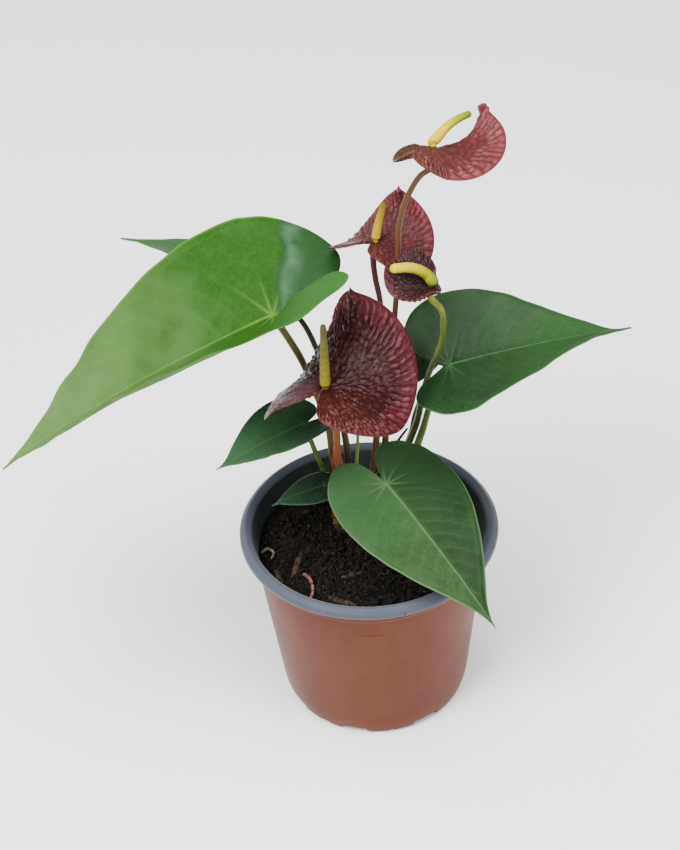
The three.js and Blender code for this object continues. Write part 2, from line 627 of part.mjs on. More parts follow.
// A sheath is a shell round part of its stalk, narrower towards its top.
function sheathGeometry(sheath) {
  const steps = SHEATH_STEPS;
  const columns = SHEATH_COLUMNS;
  const curve = new THREE.CatmullRomCurve3(stalkPoints(sheath.stalk), false, 'centripetal');
  const angle = degrees(sheath.facing);
  const facing = new THREE.Vector3(Math.cos(angle), Math.sin(angle), 0);
  const vertices = [];
  for (let step = 0; step <= steps; step += 1) {
    const share = THREE.MathUtils.lerp(sheath.from, sheath.to, step / steps);
    const centre = curve.getPointAt(share);
    const tangent = curve.getTangentAt(share);
    const front = facing.clone().addScaledVector(tangent, -facing.dot(tangent)).normalize();
    const aside = tangent.clone().cross(front);
    const spread = degrees(sheath.spread) * (1 - SHEATH_NARROWING * (step / steps) ** 2);
    const inside = stalkRadius(sheath.stalk, share) + GAP;
    for (const radius of [inside + SHEATH_THICKNESS, inside]) {
      for (let column = 0; column <= columns; column += 1) {
        const turn = spread * ((2 * column) / columns - 1);
        const point = centre.clone().addScaledVector(front, radius * Math.cos(turn))
          .addScaledVector(aside, radius * Math.sin(turn));
        vertices.push(point.toArray());
      }
    }
  }
  const row = 2 * (columns + 1);
  const outer = (step, column) => step * row + column;
  const inner = (step, column) => step * row + columns + 1 + column;
  const triangles = [];
  const addQuad = (a, b, c, d) => triangles.push([a, b, c], [a, c, d]);
  for (let step = 0; step < steps; step += 1) {
    const next = step + 1;
    for (let column = 0; column < columns; column += 1) {
      const beside = column + 1;
      addQuad(outer(step, column), outer(step, beside), outer(next, beside), outer(next, column));
      addQuad(inner(step, column), inner(next, column), inner(next, beside), inner(step, beside));
    }
    addQuad(outer(step, 0), outer(next, 0), inner(next, 0), inner(step, 0));
    addQuad(outer(step, columns), inner(step, columns), inner(next, columns), outer(next, columns));
  }
  for (let column = 0; column < columns; column += 1) {
    const beside = column + 1;
    addQuad(outer(0, column), inner(0, column), inner(0, beside), outer(0, beside));
    addQuad(outer(steps, column), outer(steps, beside), inner(steps, beside), inner(steps, column));
  }
  return indexedGeometry(vertices, triangles);
}

// The mix's highest point on a circle about (x, y) and at its centre.
function highestMix(x, y, reach) {
  let highest = mixHeight(x, y);
  for (let index = 0; index < 8; index += 1) {
    const angle = (index / 8) * 2 * Math.PI;
    highest = Math.max(highest, mixHeight(x + reach * Math.cos(angle), y + reach * Math.sin(angle)));
  }
  return highest;
}

function chipGeometry(chip) {
  const [length, width, height] = chip.size;
  const [x, y] = chip.at;
  const shape = new THREE.Shape(CHIP_OUTLINE.map(([along, aside]) => (
    new THREE.Vector2(along * length, aside * width)
  )));
  const seat = highestMix(x, y, CHIP_REACH * length) + GAP;
  return new THREE.ExtrudeGeometry(shape, { depth: height, bevelEnabled: false })
    .rotateZ(degrees(chip.turn)).translate(x, y, seat);
}

function surfaceRootGeometry(root) {
  const heights = root.points.map(([x, y]) => highestMix(x, y, 2 * root.radius));
  const lift = Math.max(...heights) + root.radius + GAP;
  const points = root.points.map(([x, y]) => new THREE.Vector3(x, y, lift));
  const radiusAt = (share) => root.radius * (1 - 0.35 * share);
  return taperedTube(points, radiusAt, 8, 8);
}

function shootGeometry(shoot) {
  const foot = new THREE.Vector3(shoot.foot[0], shoot.foot[1], CROWN.top + GAP);
  const points = [foot, ...shoot.route.map((point) => new THREE.Vector3(...point))];
  return taperedTube(points, (share) => THREE.MathUtils.lerp(...shoot.radius, share), 8, 8);
}

// ---------------------------------------------------------------- the plant in its pot

addMesh('nursery_pot', potGeometry(), MATERIALS.pot);
addMesh('potting_mix', mixGeometry(), MATERIALS.mix);
addMesh('root_crown', fromSolid(crownSolid(0)), MATERIALS.crown);

for (const [name, leaf] of Object.entries(LEAVES)) {
  const material = name === 'left_large' ? MATERIALS.freshLeaf : MATERIALS.leaf;
  addMesh(`leaf_${name}`, bladeGeometry(leaf, leaf.outline ?? LEAF_OUTLINE, LEAF_MESH), material);
  addMesh(`petiole_${name}`, stalkGeometry(leaf), MATERIALS.stalk);
}

for (const [name, flower] of Object.entries(FLOWERS)) {
  const outline = flower.outline ?? SPATHE_OUTLINE;
  addMesh(`spathe_${name}`, bladeGeometry(flower, outline, SPATHE_MESH), MATERIALS.spathe);
  addMesh(`spadix_${name}`, spadixGeometry(flower), MATERIALS.spadix);
  addMesh(`peduncle_${name}`, stalkGeometry(flower), MATERIALS.redStalk);
}

SHEATHS.forEach((sheath, index) => {
  addMesh(`dry_sheath_${index + 1}`, sheathGeometry(sheath), MATERIALS.sheath);
});
SHOOTS.forEach((shoot, index) => {
  addMesh(`new_shoot_${index + 1}`, shootGeometry(shoot), MATERIALS.redStalk);
});
CHIPS.forEach((chip, index) => {
  addMesh(`bark_chip_${index + 1}`, chipGeometry(chip), MATERIALS.bark);
});
SURFACE_ROOTS.forEach((root, index) => {
  addMesh(`surface_root_${index + 1}`, surfaceRootGeometry(root), MATERIALS.crown);
});

export default plant;
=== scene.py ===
import itertools
import math
from types import SimpleNamespace

import bpy
import numpy as np
from mathutils import Matrix


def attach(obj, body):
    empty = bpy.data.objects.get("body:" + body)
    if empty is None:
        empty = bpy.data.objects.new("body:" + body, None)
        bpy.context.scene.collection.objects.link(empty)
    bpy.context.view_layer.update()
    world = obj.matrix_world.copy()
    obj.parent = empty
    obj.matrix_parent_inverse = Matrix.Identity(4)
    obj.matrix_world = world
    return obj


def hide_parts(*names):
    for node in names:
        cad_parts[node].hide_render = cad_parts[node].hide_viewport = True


# The looks of a potted anthurium. Shapes are worked out in millimetres, in the part's own
# frame (the pot's axis on Z, its underside on z = 0, seen from -Y), and stored in metres.

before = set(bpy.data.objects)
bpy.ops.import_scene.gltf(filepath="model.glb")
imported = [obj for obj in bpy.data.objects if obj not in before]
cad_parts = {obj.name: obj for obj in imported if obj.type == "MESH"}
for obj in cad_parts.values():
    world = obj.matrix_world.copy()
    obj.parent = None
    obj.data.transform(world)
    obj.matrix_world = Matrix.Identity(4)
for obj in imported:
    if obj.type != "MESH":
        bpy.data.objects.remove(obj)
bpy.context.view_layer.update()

MM = 0.001
SEED = 7


# ------------------------------------------------------------------ camera

CAMERA = SimpleNamespace(
    distance=900, elevation=46.984, yaw=-0.7517, pitch=7.732, roll=-2.9868, lens=75.63)


def link(thing, *columns):
    """Puts an object in the scene. `columns` are its x, y and z axes and its place."""
    if columns:
        thing.matrix_world = Matrix([*np.column_stack(columns).tolist(), (0, 0, 0, 1)])
    bpy.context.scene.collection.objects.link(thing)
    return thing


def turned(first, second, degrees):
    """Two perpendicular directions after a turn from the first towards the second."""
    cosine, sine = math.cos(math.radians(degrees)), math.sin(math.radians(degrees))
    return first * cosine + second * sine, second * cosine - first * sine


def make_camera():
    elevation = math.radians(CAMERA.elevation)
    place = CAMERA.distance * np.array([0, -math.cos(elevation), math.sin(elevation)])
    forward = -place / np.linalg.norm(place)
    right = np.array([1.0, 0, 0])
    up = np.cross(right, forward)
    forward, right = turned(forward, right, CAMERA.yaw)
    forward, up = turned(forward, up, CAMERA.pitch)
    right, up = turned(right, up, CAMERA.roll)
    data = bpy.data.cameras.new("camera")
    data.lens = CAMERA.lens
    camera = bpy.data.objects.new("camera", data)
    bpy.context.scene.camera = link(camera, right, up, -forward, place * MM)


make_camera()


# ------------------------------------------------------------------ driving dimensions

POT = SimpleNamespace(
    height=98, rim_radius=60, rim_depth=5.5, mouth_radius=54.2, shoulder_radius=55,
    base_radius=45.5, corner_height=8, foot_radius=42.5, wall=1.5, floor=1.8, stack_line=12,
    stack_step=0.5, drain_holes=8, drain_radius=4, drain_circle=31, slots=8, slot_start=0.67,
    slot_radius=45, out_of_round=0.35, sharp_angle=math.radians(32))
MARK = SimpleNamespace(
    height=75.6, angle=math.radians(-91.5), reach=math.radians(8), rise=0.28, half_height=0.5)
NICK = SimpleNamespace(angle=math.radians(-76.5), width=0.5, depth=0.5, low=93.5, high=97)
MIX_LEVEL = 85
MIX_REACH = 49.5  # loose bits lie no further than this from the pot's axis
CROWN = SimpleNamespace(centre=(0, 16), radii=(19, 13), bottom=62, top=88)
SEAT = 0.2  # the clearance between a blade's middle and its stalk or spadix
STALK_DEPTH = 2.0  # how far a stalk's foot is set into the crown
MIDRIB_SOFTNESS = 1.2
LEAF_THICKNESS = 0.8
SPATHE_THICKNESS = 0.9
FULL_VEINS = 136  # a leaf of this length has veins of full width
VEIN_POINTS = 14
STALK_WRAP = 1.8  # the radius at which a stalk's angles turn into millimetres of its grain
FIBRE_BENDS = 6

LEAF_OUTLINE = [
    (1, 0), (0.93, 0.014), (0.84, 0.055), (0.7, 0.145), (0.5, 0.26), (0.3, 0.34),
    (0.1, 0.365), (-0.08, 0.33), (-0.2, 0.24), (-0.245, 0.14), (-0.19, 0.05), (-0.04, 0),
]
OPEN_LEAF_OUTLINE = LEAF_OUTLINE[:8] + [
    (-0.2, 0.26), (-0.235, 0.18), (-0.16, 0.085), (-0.035, 0),
]
SPATHE_OUTLINE = [
    (1, 0), (0.93, 0.03), (0.82, 0.14), (0.62, 0.36), (0.38, 0.53), (0.12, 0.6),
    (-0.12, 0.57), (-0.3, 0.44), (-0.38, 0.27), (-0.33, 0.11), (-0.05, 0),
]
SHORT_LOBE_OUTLINE = SPATHE_OUTLINE[:5] + [
    (0.15, 0.56), (-0.03, 0.46), (-0.13, 0.31), (-0.16, 0.17), (-0.11, 0.06), (-0.03, 0),
]
LOBE = SimpleNamespace(reach=0.2, ease=0.15, margin=0.3, notch=0.03, softness=2)


def blade(outline, **values):
    """A leaf or a flower with its stalk, in the same places as the CAD part's.

    Angles are in degrees: `fold` is the slope of each half, `back` what is added to it
    behind the joint for each half, `droop` and `lobes` how far the blade bends down before
    and behind the joint, and a difference is added to one half and taken from the other.
    `width`, `sweep` and `cup`, the rise of the first half's lobe, are shares of `length`.
    `crease` has the angle and the slope of the second half's crease, `mesh` the sectors and
    rings, and `knob` how much thicker the tip is."""
    unset = dict(
        fold_difference=0, fold_along=0, back=(0, 0), curl_difference=0, sweep=0, cup=0,
        crease=(0, 0), knob=0)
    return SimpleNamespace(outline=outline, **{**unset, **values})


LEAVES = {
    "left_large": blade(
        LEAF_OUTLINE, mesh=(150, 54),
        joint=(-36.5, 9, 211.6), heading=-171.5, pitch=-20, roll=-27.5, length=148, width=0.96,
        fold=23.3, fold_difference=27, back=(13, -67), curl=44.6, droop=22, lobes=-26, twist=8,
        cup=0.19, crease=(112, 0.3), foot=(-9.5, 16.5), radius=(2.3, 1.6),
        route=[(-12, 16.5, 108), (-14.5, 17.5, 123), (-16, 17, 143), (-21.2, 14.5, 166.5),
               (-26, 12, 186)]),
    "back_left": blade(
        LEAF_OUTLINE, mesh=(100, 34),
        joint=(-35.3, 52.3, 196.6), heading=154, pitch=15.5, roll=14, length=80, width=0.82,
        fold=13, curl=0, droop=17, lobes=11, twist=2, foot=(-7, 22), radius=(2, 1.3),
        route=[(-8, 22, 110), (-9, 25, 131), (-15, 32, 154), (-19, 37, 170), (-26, 44.5, 183)]),
    "left_lower": blade(
        LEAF_OUTLINE, mesh=(90, 30),
        joint=(-26.6, -2, 159.7), heading=-144, pitch=4, roll=0, length=47, width=1.01,
        fold=19, curl=9, droop=9, lobes=9, twist=-13, foot=(-14.5, 13), radius=(1.9, 1.2),
        route=[(-16, 13, 104), (-18.5, 11.5, 118), (-20.5, 10, 126), (-22.5, 5, 138),
               (-24.5, 0.5, 149)]),
    "left_small": blade(
        LEAF_OUTLINE, mesh=(60, 22),
        joint=(-19, -2, 123), heading=-166, pitch=-5, roll=-2, length=26, width=1,
        fold=1, curl=-7, droop=14, lobes=11, twist=-9, foot=(-10, 8.5), radius=(1.6, 1),
        route=[(-12, 5, 100), (-16, 0, 112)]),
    "front": blade(
        LEAF_OUTLINE, mesh=(124, 44),
        joint=(9, -8, 127), heading=-59, pitch=-9, roll=5, length=85, width=0.95,
        fold=5, curl=-15, droop=21, lobes=10, twist=3, sweep=0.02, foot=(4, 12),
        radius=(2.2, 1.5), route=[(6, 12, 100), (8.5, 7, 111), (9, -2, 117)]),
    "right_large": blade(
        OPEN_LEAF_OUTLINE, mesh=(124, 44),
        joint=(39, 5, 183), heading=5, pitch=11, roll=20, length=81, width=1.13,
        fold=19, curl=5, droop=9, lobes=103, twist=-37, sweep=-0.02, foot=(13, 12.5),
        radius=(2.2, 1.5),
        route=[(17.5, 14.5, 108), (22.5, 17, 122), (27, 18, 136), (31, 12, 157), (36, 7, 171)]),
    "right_small": blade(
        LEAF_OUTLINE, mesh=(60, 22),
        joint=(32, 24, 179), heading=-158, pitch=-38, roll=-10, length=30, width=1,
        fold=9, curl=4, droop=27, lobes=11, twist=-5, foot=(8.5, 23.5), radius=(1.7, 1),
        route=[(12, 25.5, 106), (21, 27, 124), (24, 27, 138), (27.5, 27, 150), (32, 28, 164)]),
}
FLOWERS = {
    "front": blade(
        SPATHE_OUTLINE, mesh=(190, 56), cell=2.7, pucker=0.9, ripples=88,
        joint=(-15, -25, 197), heading=57, pitch=-3.3, roll=-1.6, length=53, width=1.16,
        fold=-4.3, fold_along=-35.4, fold_difference=5.8, back=(-60, -23), curl=-68.7,
        curl_difference=-41.5, droop=-119, lobes=1, twist=-1, foot=(-3, 9.5), radius=(2.2, 1.5),
        route=[(-8, 9, 108), (-12, 6, 129), (-12, -3, 149), (-12, -12, 165), (-14, -20, 181)],
        spadix_radius=(2.3, 1.2), bends=[(0.3, 0.6, 12), (0.8, 0, 33)]),
    "middle": blade(
        SPATHE_OUTLINE, mesh=(140, 42), cell=2.2, pucker=0.7, ripples=62,
        joint=(9.3, 28, 233.4), heading=49, pitch=-18, roll=-3, length=33, width=1.21,
        fold=-17, fold_along=-5, curl=-21, droop=-127, lobes=1, twist=2, foot=(-1, 17),
        radius=(1.9, 1.3),
        route=[(3, 20, 110), (6, 21, 133), (8.5, 21.5, 168), (10.3, 22, 205), (8.6, 25, 217.5)],
        spadix_radius=(1.9, 1.2), bends=[(1.4, 0.5, 8), (4.4, 0.3, 19.6)]),
    "top": blade(
        SPATHE_OUTLINE, mesh=(140, 44), cell=2.2, pucker=0.7, ripples=62, knob=1.5,
        joint=(34, 8, 290), heading=9, pitch=-12, roll=-51, length=33.5, width=1.42,
        fold=-19, fold_along=-8, fold_difference=18, back=(-30, -16), curl=19,
        curl_difference=49, droop=-85, lobes=-63, twist=-8, foot=(1.5, 24.5), radius=(1.9, 1.2),
        route=[(8, 25, 108), (10, 22, 130), (13, 20, 165), (16.6, 9.5, 214),
               (17.9, 4.8, 236.5), (19, 3, 257), (22, 3, 269), (28, 3.5, 280)],
        spadix_radius=(2.3, 1.3),
        bends=[(1.8, 3, 3), (5.7, 6, 5.8), (10.7, 8.3, 8), (16, 9.5, 9.6)]),
    "right": blade(
        SHORT_LOBE_OUTLINE, mesh=(120, 38), cell=2.0, pucker=0.65, ripples=50,
        joint=(31, -10, 236), heading=176, pitch=5, roll=-14, length=25.5, width=1.24,
        fold=-5, fold_along=-11.5, fold_difference=16, back=(-28, -362), curl=71,
        curl_difference=32.5, droop=-75, lobes=8.5, twist=-55.5, foot=(10.5, 17.5),
        radius=(1.9, 1.3),
        route=[(14, 19, 108), (20, 21.5, 124), (24.5, 22, 137), (27, 14, 158), (28.5, 9, 170),
               (31, 4.3, 182.5), (35, 1, 197), (36, -3, 209), (35, -8, 222)],
        spadix_radius=(2.4, 1.8),
        bends=[(-1.1, 1.4, 3.8), (-3.6, 0.9, 6.5), (-8.4, -1, 10), (-16.8, -4.4, 12.3)]),
}

# Each sheath: its stalk, its start and end along that, the side it faces and its spread.
SHEATHS = [
    ("left_large", 0.14, 0.34, -60, 80), ("right_large", 0.1, 0.3, 20, 70),
    ("left_lower", 0.06, 0.32, -75, 80),
]
# Each shoot: its radius at foot and tip, its foot and the points above that.
SHOOTS = [
    ((1.7, 0.5), (5.5, 18), [(7, 19.5, 104), (10, 20.5, 119), (16, 20.5, 129),
                             (20.5, 20.5, 136)]),
    ((1.3, 0.6), (-4.5, 13.8), [(-4.4, 13.8, 104), (-4.3, 13.8, 118), (-3.2, 14, 131),
                                (-2.3, 14, 147)]),
]
# Each chip: its place, its turn and its length, width and height.
CHIPS = [
    ((-34, -13), 70, (15, 5, 2.4)), ((-43, -20), 120, (8, 4, 2)),
    ((-14, -40), -35, (12, 5, 2.2)), ((38, -18), 20, (13, 6, 2.4)),
    ((-8, -22), 10, (10, 4, 2)), ((30, 38), -50, (12, 5.5, 2.2)),
]
CHIP_SHAPE = (1.2, 0.62, 0.8)  # a splinter beside the solid part's plain chip
SURFACE_ROOTS = [
    (1.1, [(-51, -4), (-48, -2), (-45, -5), (-46, -10)]),
    (1.2, [(-31, -21), (-28, -27), (-27, -34), (-30, -40)]),
]


# ------------------------------------------------------------------ shader helpers

# The specular level of each kind of surface.
SHINE = SimpleNamespace(
    leaf=0.12, spathe=0.12, stalk=0.12, spadix=0.08, paper=0.2, soil=0.12, wood=0.15,
    plastic=0.1, floor=0.5)


def colours(codes):
    """Linear colours from hexadecimal codes of how they look on a screen."""
    def linear(code):
        share = int(code, 16) / 255
        return share / 12.92 if share <= 0.04045 else ((share + 0.055) / 1.055) ** 2.4
    return [(*(linear(code[at:at + 2]) for at in (0, 2, 4)), 1) for code in codes.split()]


class Shader:
    """A material's node tree, with short ways to add the nodes that this scene uses."""

    def __init__(self, name):
        self.material = bpy.data.materials.new(name)
        self.material.use_nodes = True
        self.tree = self.material.node_tree

    def put(self, node, inputs):
        for key, value in inputs.items():
            if isinstance(value, bpy.types.NodeSocket):
                self.tree.links.new(value, node.inputs[key])
            else:
                node.inputs[key].default_value = value

    def add(self, kind, inputs, output=0, **settings):
        node = self.tree.nodes.new("ShaderNode" + kind)
        for name, value in settings.items():
            setattr(node, name, value)
        self.put(node, inputs)
        return node.outputs[output]

    def number(self, name):
        return self.add("Attribute", {}, "Fac", attribute_name=name)

    def vector(self, name):
        return self.add("Attribute", {}, "Vector", attribute_name=name)

    def place(self):
        return self.add("TexCoord", {}, "Object")

    def stretched(self, vector, scale):
        return self.add("Mapping", {"Vector": vector, "Scale": scale})

    def noise(self, vector, scale, detail, roughness=0.55):
        return self.add("TexNoise", {
            "Vector": vector, "Scale": scale, "Detail": detail, "Roughness": roughness})

    def cell_edges(self, vector, scale):
        inputs = {"Vector": vector, "Scale": scale}
        return self.add("TexVoronoi", inputs, "Distance", feature="DISTANCE_TO_EDGE")

    def times(self, first, second):
        return self.add("Math", {0: first, 1: second}, operation="MULTIPLY")

    def plus(self, first, second):
        return self.add("Math", {0: first, 1: second}, operation="ADD")

    def ramp(self, *values):
        """A value mapped from a lowest and highest to another pair, 0 and 1 if left out."""
        return self.add("MapRange", dict(enumerate(values)))

    def mix(self, factor, first, second, blend="MIX"):
        inputs = {0: factor, 6: first, 7: second}
        return self.add("Mix", inputs, 2, data_type="RGBA", blend_type=blend)

    def layers(self, colour, *layers):
        """A colour with others laid on it, each given as (colour, factor, factor's scale)."""
        for top, factor, *scale in layers:
            if scale:
                factor = self.times(factor, *scale)
            colour = self.mix(factor, colour, top)
        return colour

    def stops(self, value, positions, palette):
        result = self.add("ValToRGB", {"Fac": value})
        elements = result.node.color_ramp.elements
        while len(elements) < len(positions):
            elements.new(0.5)
        for element, position, colour in zip(elements, positions, palette):
            element.position = position
            element.color = colour
        return result

    def bump(self, height, distance, strength):
        return self.add("Bump", {"Height": height, "Distance": distance, "Strength": strength})

    def finish(self, colour, roughness, specular, normal=None, **more):
        inputs = {
            "Base Color": colour, "Roughness": roughness, "Specular IOR Level": specular,
            **{name.replace("_", " "): value for name, value in more.items()}}
        if normal:
            inputs["Normal"] = normal
        self.put(self.tree.nodes["Principled BSDF"], inputs)
        return self.material


# ------------------------------------------------------------------ mesh helpers

def add_mesh(name, points, faces):
    mesh = bpy.data.meshes.new(name)
    mesh.from_pydata((np.asarray(points, float) * MM).tolist(), [], faces)
    return link(bpy.data.objects.new(name, mesh))


def finish_piece(piece, materials, node=None, smooth=True):
    for material in materials:
        piece.data.materials.append(material)
    piece.data.polygons.foreach_set("use_smooth", [smooth] * len(piece.data.polygons))
    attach(piece, "root")
    if node:
        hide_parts(node)


def make_piece(name, points, faces, slot, material, node=None, smooth=True, **attributes):
    """A piece on the root body. An attribute has one row for each point."""
    piece = add_mesh(name, points, faces)
    for key, values in attributes.items():
        values = np.asarray(values, np.float32)
        kind, field = ("FLOAT", "value") if values.ndim == 1 else ("FLOAT_VECTOR", "vector")
        piece.data.attributes.new(key, kind, "POINT").data.foreach_set(field, values.ravel())
    piece.data.validate()
    finish_piece(piece, [material], node, smooth)


def look(node, points, faces, slot, material, **attributes):
    """A piece that stands for a node of the CAD part."""
    make_piece(f"{node}_look", points, faces, slot, material, node, **attributes)


def shell(rows, columns, start=True, end=True):
    """Faces between rings of points. A point before them and one after them close it."""
    at = lambda row, column: start + row * columns + column % columns
    faces = []
    for column in range(columns):
        after = column + 1
        if start:
            faces.append((0, at(0, after), at(0, column)))
        for row in range(rows - 1):
            faces.append((
                at(row, column), at(row, after), at(row + 1, after), at(row + 1, column)))
        if end:
            faces.append((at(rows, 0), at(rows - 1, column), at(rows - 1, after)))
    return faces


def flipped(faces):
    return [(face[0], *face[:0:-1]) for face in faces]


def shifted(faces, start):
    return [tuple(start + corner for corner in face) for face in faces]


def circle(count):
    """Evenly spaced angles round a full turn."""
    return np.arange(count) / count * 2 * math.pi


def rotation(angle):
    cosine, sine = math.cos(angle), math.sin(angle)
    return np.array([[cosine, -sine], [sine, cosine]])


def unit(vectors):
    return vectors / np.maximum(np.linalg.norm(vectors, axis=-1, keepdims=True), 1e-12)


def smooth(value, low, high):
    share = np.clip((value - low) / (high - low), 0, 1)
    return share * share * (3 - 2 * share)


def bell(value, width):
    return np.exp(-(value / width) ** 2)


def waves(points, size, seed, count=28):
    """Smooth noise of about -1 to 1 whose bumps are about `size` across."""
    random = np.random.default_rng(seed)
    points = np.asarray(points, float)
    directions = unit(random.normal(size=(count, points.shape[1])))
    numbers = 2 * math.pi / (size * random.uniform(0.7, 1.6, count))
    phases = random.uniform(0, 2 * math.pi, count)
    turns = points @ (directions * numbers[:, None]).T + phases
    return np.sin(turns).sum(1) / math.sqrt(count)


def evenly(dense, count=None, spacing=None):
    """Evenly spaced points along a dense line, their tangents, and the line's length."""
    lengths = np.concatenate([[0], np.cumsum(np.linalg.norm(np.diff(dense, axis=0), axis=1))])
    at = np.linspace(0, lengths[-1], count or int(lengths[-1] / spacing))
    line = np.stack([np.interp(at, lengths, values) for values in dense.T], 1)
    return line, unit(np.gradient(line, axis=0)), lengths[-1]


def centripetal(points, count=None, spacing=None):
    """The same along a centripetal Catmull-Rom curve."""
    points = np.asarray(points, float)
    padded = np.vstack([2 * points[0] - points[1], points, 2 * points[-1] - points[-2]])
    dense = []
    for index in range(len(points) - 1):
        a, b, c, d = padded[index:index + 4]
        before, own, after = (
            math.sqrt(np.linalg.norm(q - p)) for p, q in ((a, b), (b, c), (c, d)))
        start = own * ((b - a) / before - (c - a) / (before + own) + (c - b) / own)
        end = own * ((c - b) / own - (d - b) / (own + after) + (d - c) / after)
        share = np.linspace(0, 1, 60, endpoint=index == len(points) - 2)[:, None]
        square, cube = share ** 2, share ** 3
        dense.append(
            (2 * cube - 3 * square + 1) * b + (cube - 2 * square + share) * start
            + (3 * square - 2 * cube) * c + (cube - square) * end)
    return evenly(np.vstack(dense), count, spacing)


def tube(line, tangents, radii, sides):
    """A closed tube with its ends drawn in. `radii` is one per ring, or one per point.

    Its two directions across the line turn as little as possible along it."""
    seed = np.array([1.0, 0, 0]) if abs(tangents[0][0]) < 0.9 else np.array([0, 1.0, 0])
    normals = [unit(seed - tangents[0] * seed.dot(tangents[0]))]
    for tangent in tangents[1:]:
        normals.append(unit(normals[-1] - tangent * normals[-1].dot(tangent)))
    normals = np.array(normals)
    angles = circle(sides)
    radii = np.reshape(radii, (len(line), -1))
    rings = (
        line[:, None] + normals[:, None] * (np.cos(angles) * radii)[..., None]
        + np.cross(tangents, normals)[:, None] * (np.sin(angles) * radii)[..., None])
    points = np.vstack([line[:1], rings.reshape(-1, 3), line[-1:]])
    shares = np.concatenate([[0], np.repeat(np.linspace(0, 1, len(line)), sides), [1]])
    around = np.concatenate([[0], np.tile(angles, len(line)), [0]])
    return points, shell(len(line), sides), shares, around


# ------------------------------------------------------------------ blades

def blade_axes(blade):
    heading, pitch, roll = (math.radians(a) for a in (blade.heading, blade.pitch, blade.roll))
    level = np.array([-math.sin(heading), math.cos(heading), 0])
    along = np.array([
        math.cos(pitch) * math.cos(heading), math.cos(pitch) * math.sin(heading),
        math.sin(pitch)])
    across = level * math.cos(roll) + np.cross(along, level) * math.sin(roll)
    return along, across, np.cross(along, across)


def beyond_crease(blade, u, v):
    """How far a point on the second half lies beyond the crease of its lobe, in millimetres."""
    angle = math.radians(blade.crease[0])
    share = np.abs(v) * blade.width * math.cos(angle) - u * math.sin(angle)
    return np.where(v < 0, share * blade.length, -blade.length)


def lobe_lift(blade, u, v):
    """How far a lobe is raised or, beyond its crease, lowered."""
    distance = np.abs(v)
    behind = (np.maximum(0, -u) / LOBE.reach) ** 2
    eased = (1 + LOBE.ease) * behind / (behind + LOBE.ease)
    from_notch = distance ** 2 / (distance ** 2 + LOBE.notch ** 2)
    rise = blade.cup * blade.length * eased * from_notch * (1 - distance / LOBE.margin)
    beyond = beyond_crease(blade, u, v)
    fall = blade.crease[1] * (np.hypot(beyond, LOBE.softness) + beyond) / 2
    return np.where(v > 0, rise, 0) - np.where(v < 0, fall, 0)


def blade_point(blade, u, v):
    """A point of a blade from its shares of the length, u, and of the width, v."""
    along, across, normal = blade_axes(blade)
    side = np.sign(v)
    distance = np.abs(v) * blade.width
    behind = np.where(side > 0, *blade.back) * np.maximum(0, -u)
    slope = blade.fold + blade.fold_along * u + blade.fold_difference * side + behind
    fold = np.radians(slope)
    curl = np.radians((blade.curl or 0.01) + blade.curl_difference * side)
    out = (np.sin(fold + curl * distance) - np.sin(fold)) / curl
    raised = blade.length * (np.cos(fold) - np.cos(fold + curl * distance)) / curl
    lift = np.sign(raised) * (np.hypot(raised, MIDRIB_SOFTNESS) - MIDRIB_SOFTNESS)
    spread = side * out * blade.length
    twist = math.radians(blade.twist) * u
    y = spread * np.cos(twist) - lift * np.sin(twist)
    z = spread * np.sin(twist) + lift * np.cos(twist) + lobe_lift(blade, u, v)
    total = np.where(u > 0, math.radians(-blade.droop), math.radians(blade.lobes))
    turn = total * u
    forward = blade.length * np.sin(turn) / total - z * np.sin(turn)
    upward = blade.length * (1 - np.cos(turn)) / total + z * np.cos(turn)
    sideways = np.where(u > 0, blade.sweep * blade.length * u * u, 0) + y
    return (
        np.array(blade.joint, float) + forward[:, None] * along
        + sideways[:, None] * across + upward[:, None] * normal)


def blade_normal(blade, u, v, step=0.005):
    lengthwise = blade_point(blade, u + step, v) - blade_point(blade, u - step, v)
    sideways = blade_point(blade, u, v + step) - blade_point(blade, u, v - step)
    return unit(np.cross(lengthwise, sideways))


def half_outline(points, count):
    """`count` + 1 points evenly spaced from the tip round to the notch behind the joint."""
    points = np.asarray(points, float)
    last = len(points) - 1
    at = np.linspace(0, last, 900)
    index = np.minimum(at.astype(int), last - 1)
    share = (at - index)[:, None]
    a, b, c, d = (points[np.clip(index + shift, 0, last)] for shift in (-1, 0, 1, 2))
    start, end = (c - a) / 2, (d - b) / 2
    dense = (
        (2 * b - 2 * c + start + end) * share ** 3
        + (3 * c - 3 * b - 2 * start - end) * share ** 2 + start * share + b)
    return evenly(dense, count + 1)[0]


def near_lines(points, lines):
    """How strongly each point lies on the nearest line. A line is (points, widths, weights)."""
    best = np.zeros(len(points))
    rows = np.arange(len(points))
    for line, widths, weights in lines:
        runs = np.diff(line, axis=0)
        offset = points[:, None] - line[:-1]
        share = np.clip((offset * runs).sum(2) / np.maximum((runs ** 2).sum(1), 1e-12), 0, 1)
        gap = np.linalg.norm(offset - share[..., None] * runs, axis=2)
        nearest = gap.argmin(1)
        place = (nearest + share[rows, nearest]) / (len(line) - 1)
        width, weight = (np.interp(place, [0, 1], ends) for ends in (widths, weights))
        best = np.maximum(best, weight * bell(gap[rows, nearest], width))
    return best


def curved(end, swing):
    """A vein from the joint to `end` that first swings back by `swing` degrees."""
    middle = 0.55 * (rotation(math.radians(swing)) @ end)
    share = np.linspace(0, 1, VEIN_POINTS)[:, None]
    return 2 * share * (1 - share) * middle + share ** 2 * end


def basal_veins(edge, veins, share, widths, weights):
    """Veins that run from the joint to a `share` of the way to places on the edge."""
    return [
        (curved(share * edge[int(place * (len(edge) - 1))], swing), widths, weights)
        for place, swing in veins]


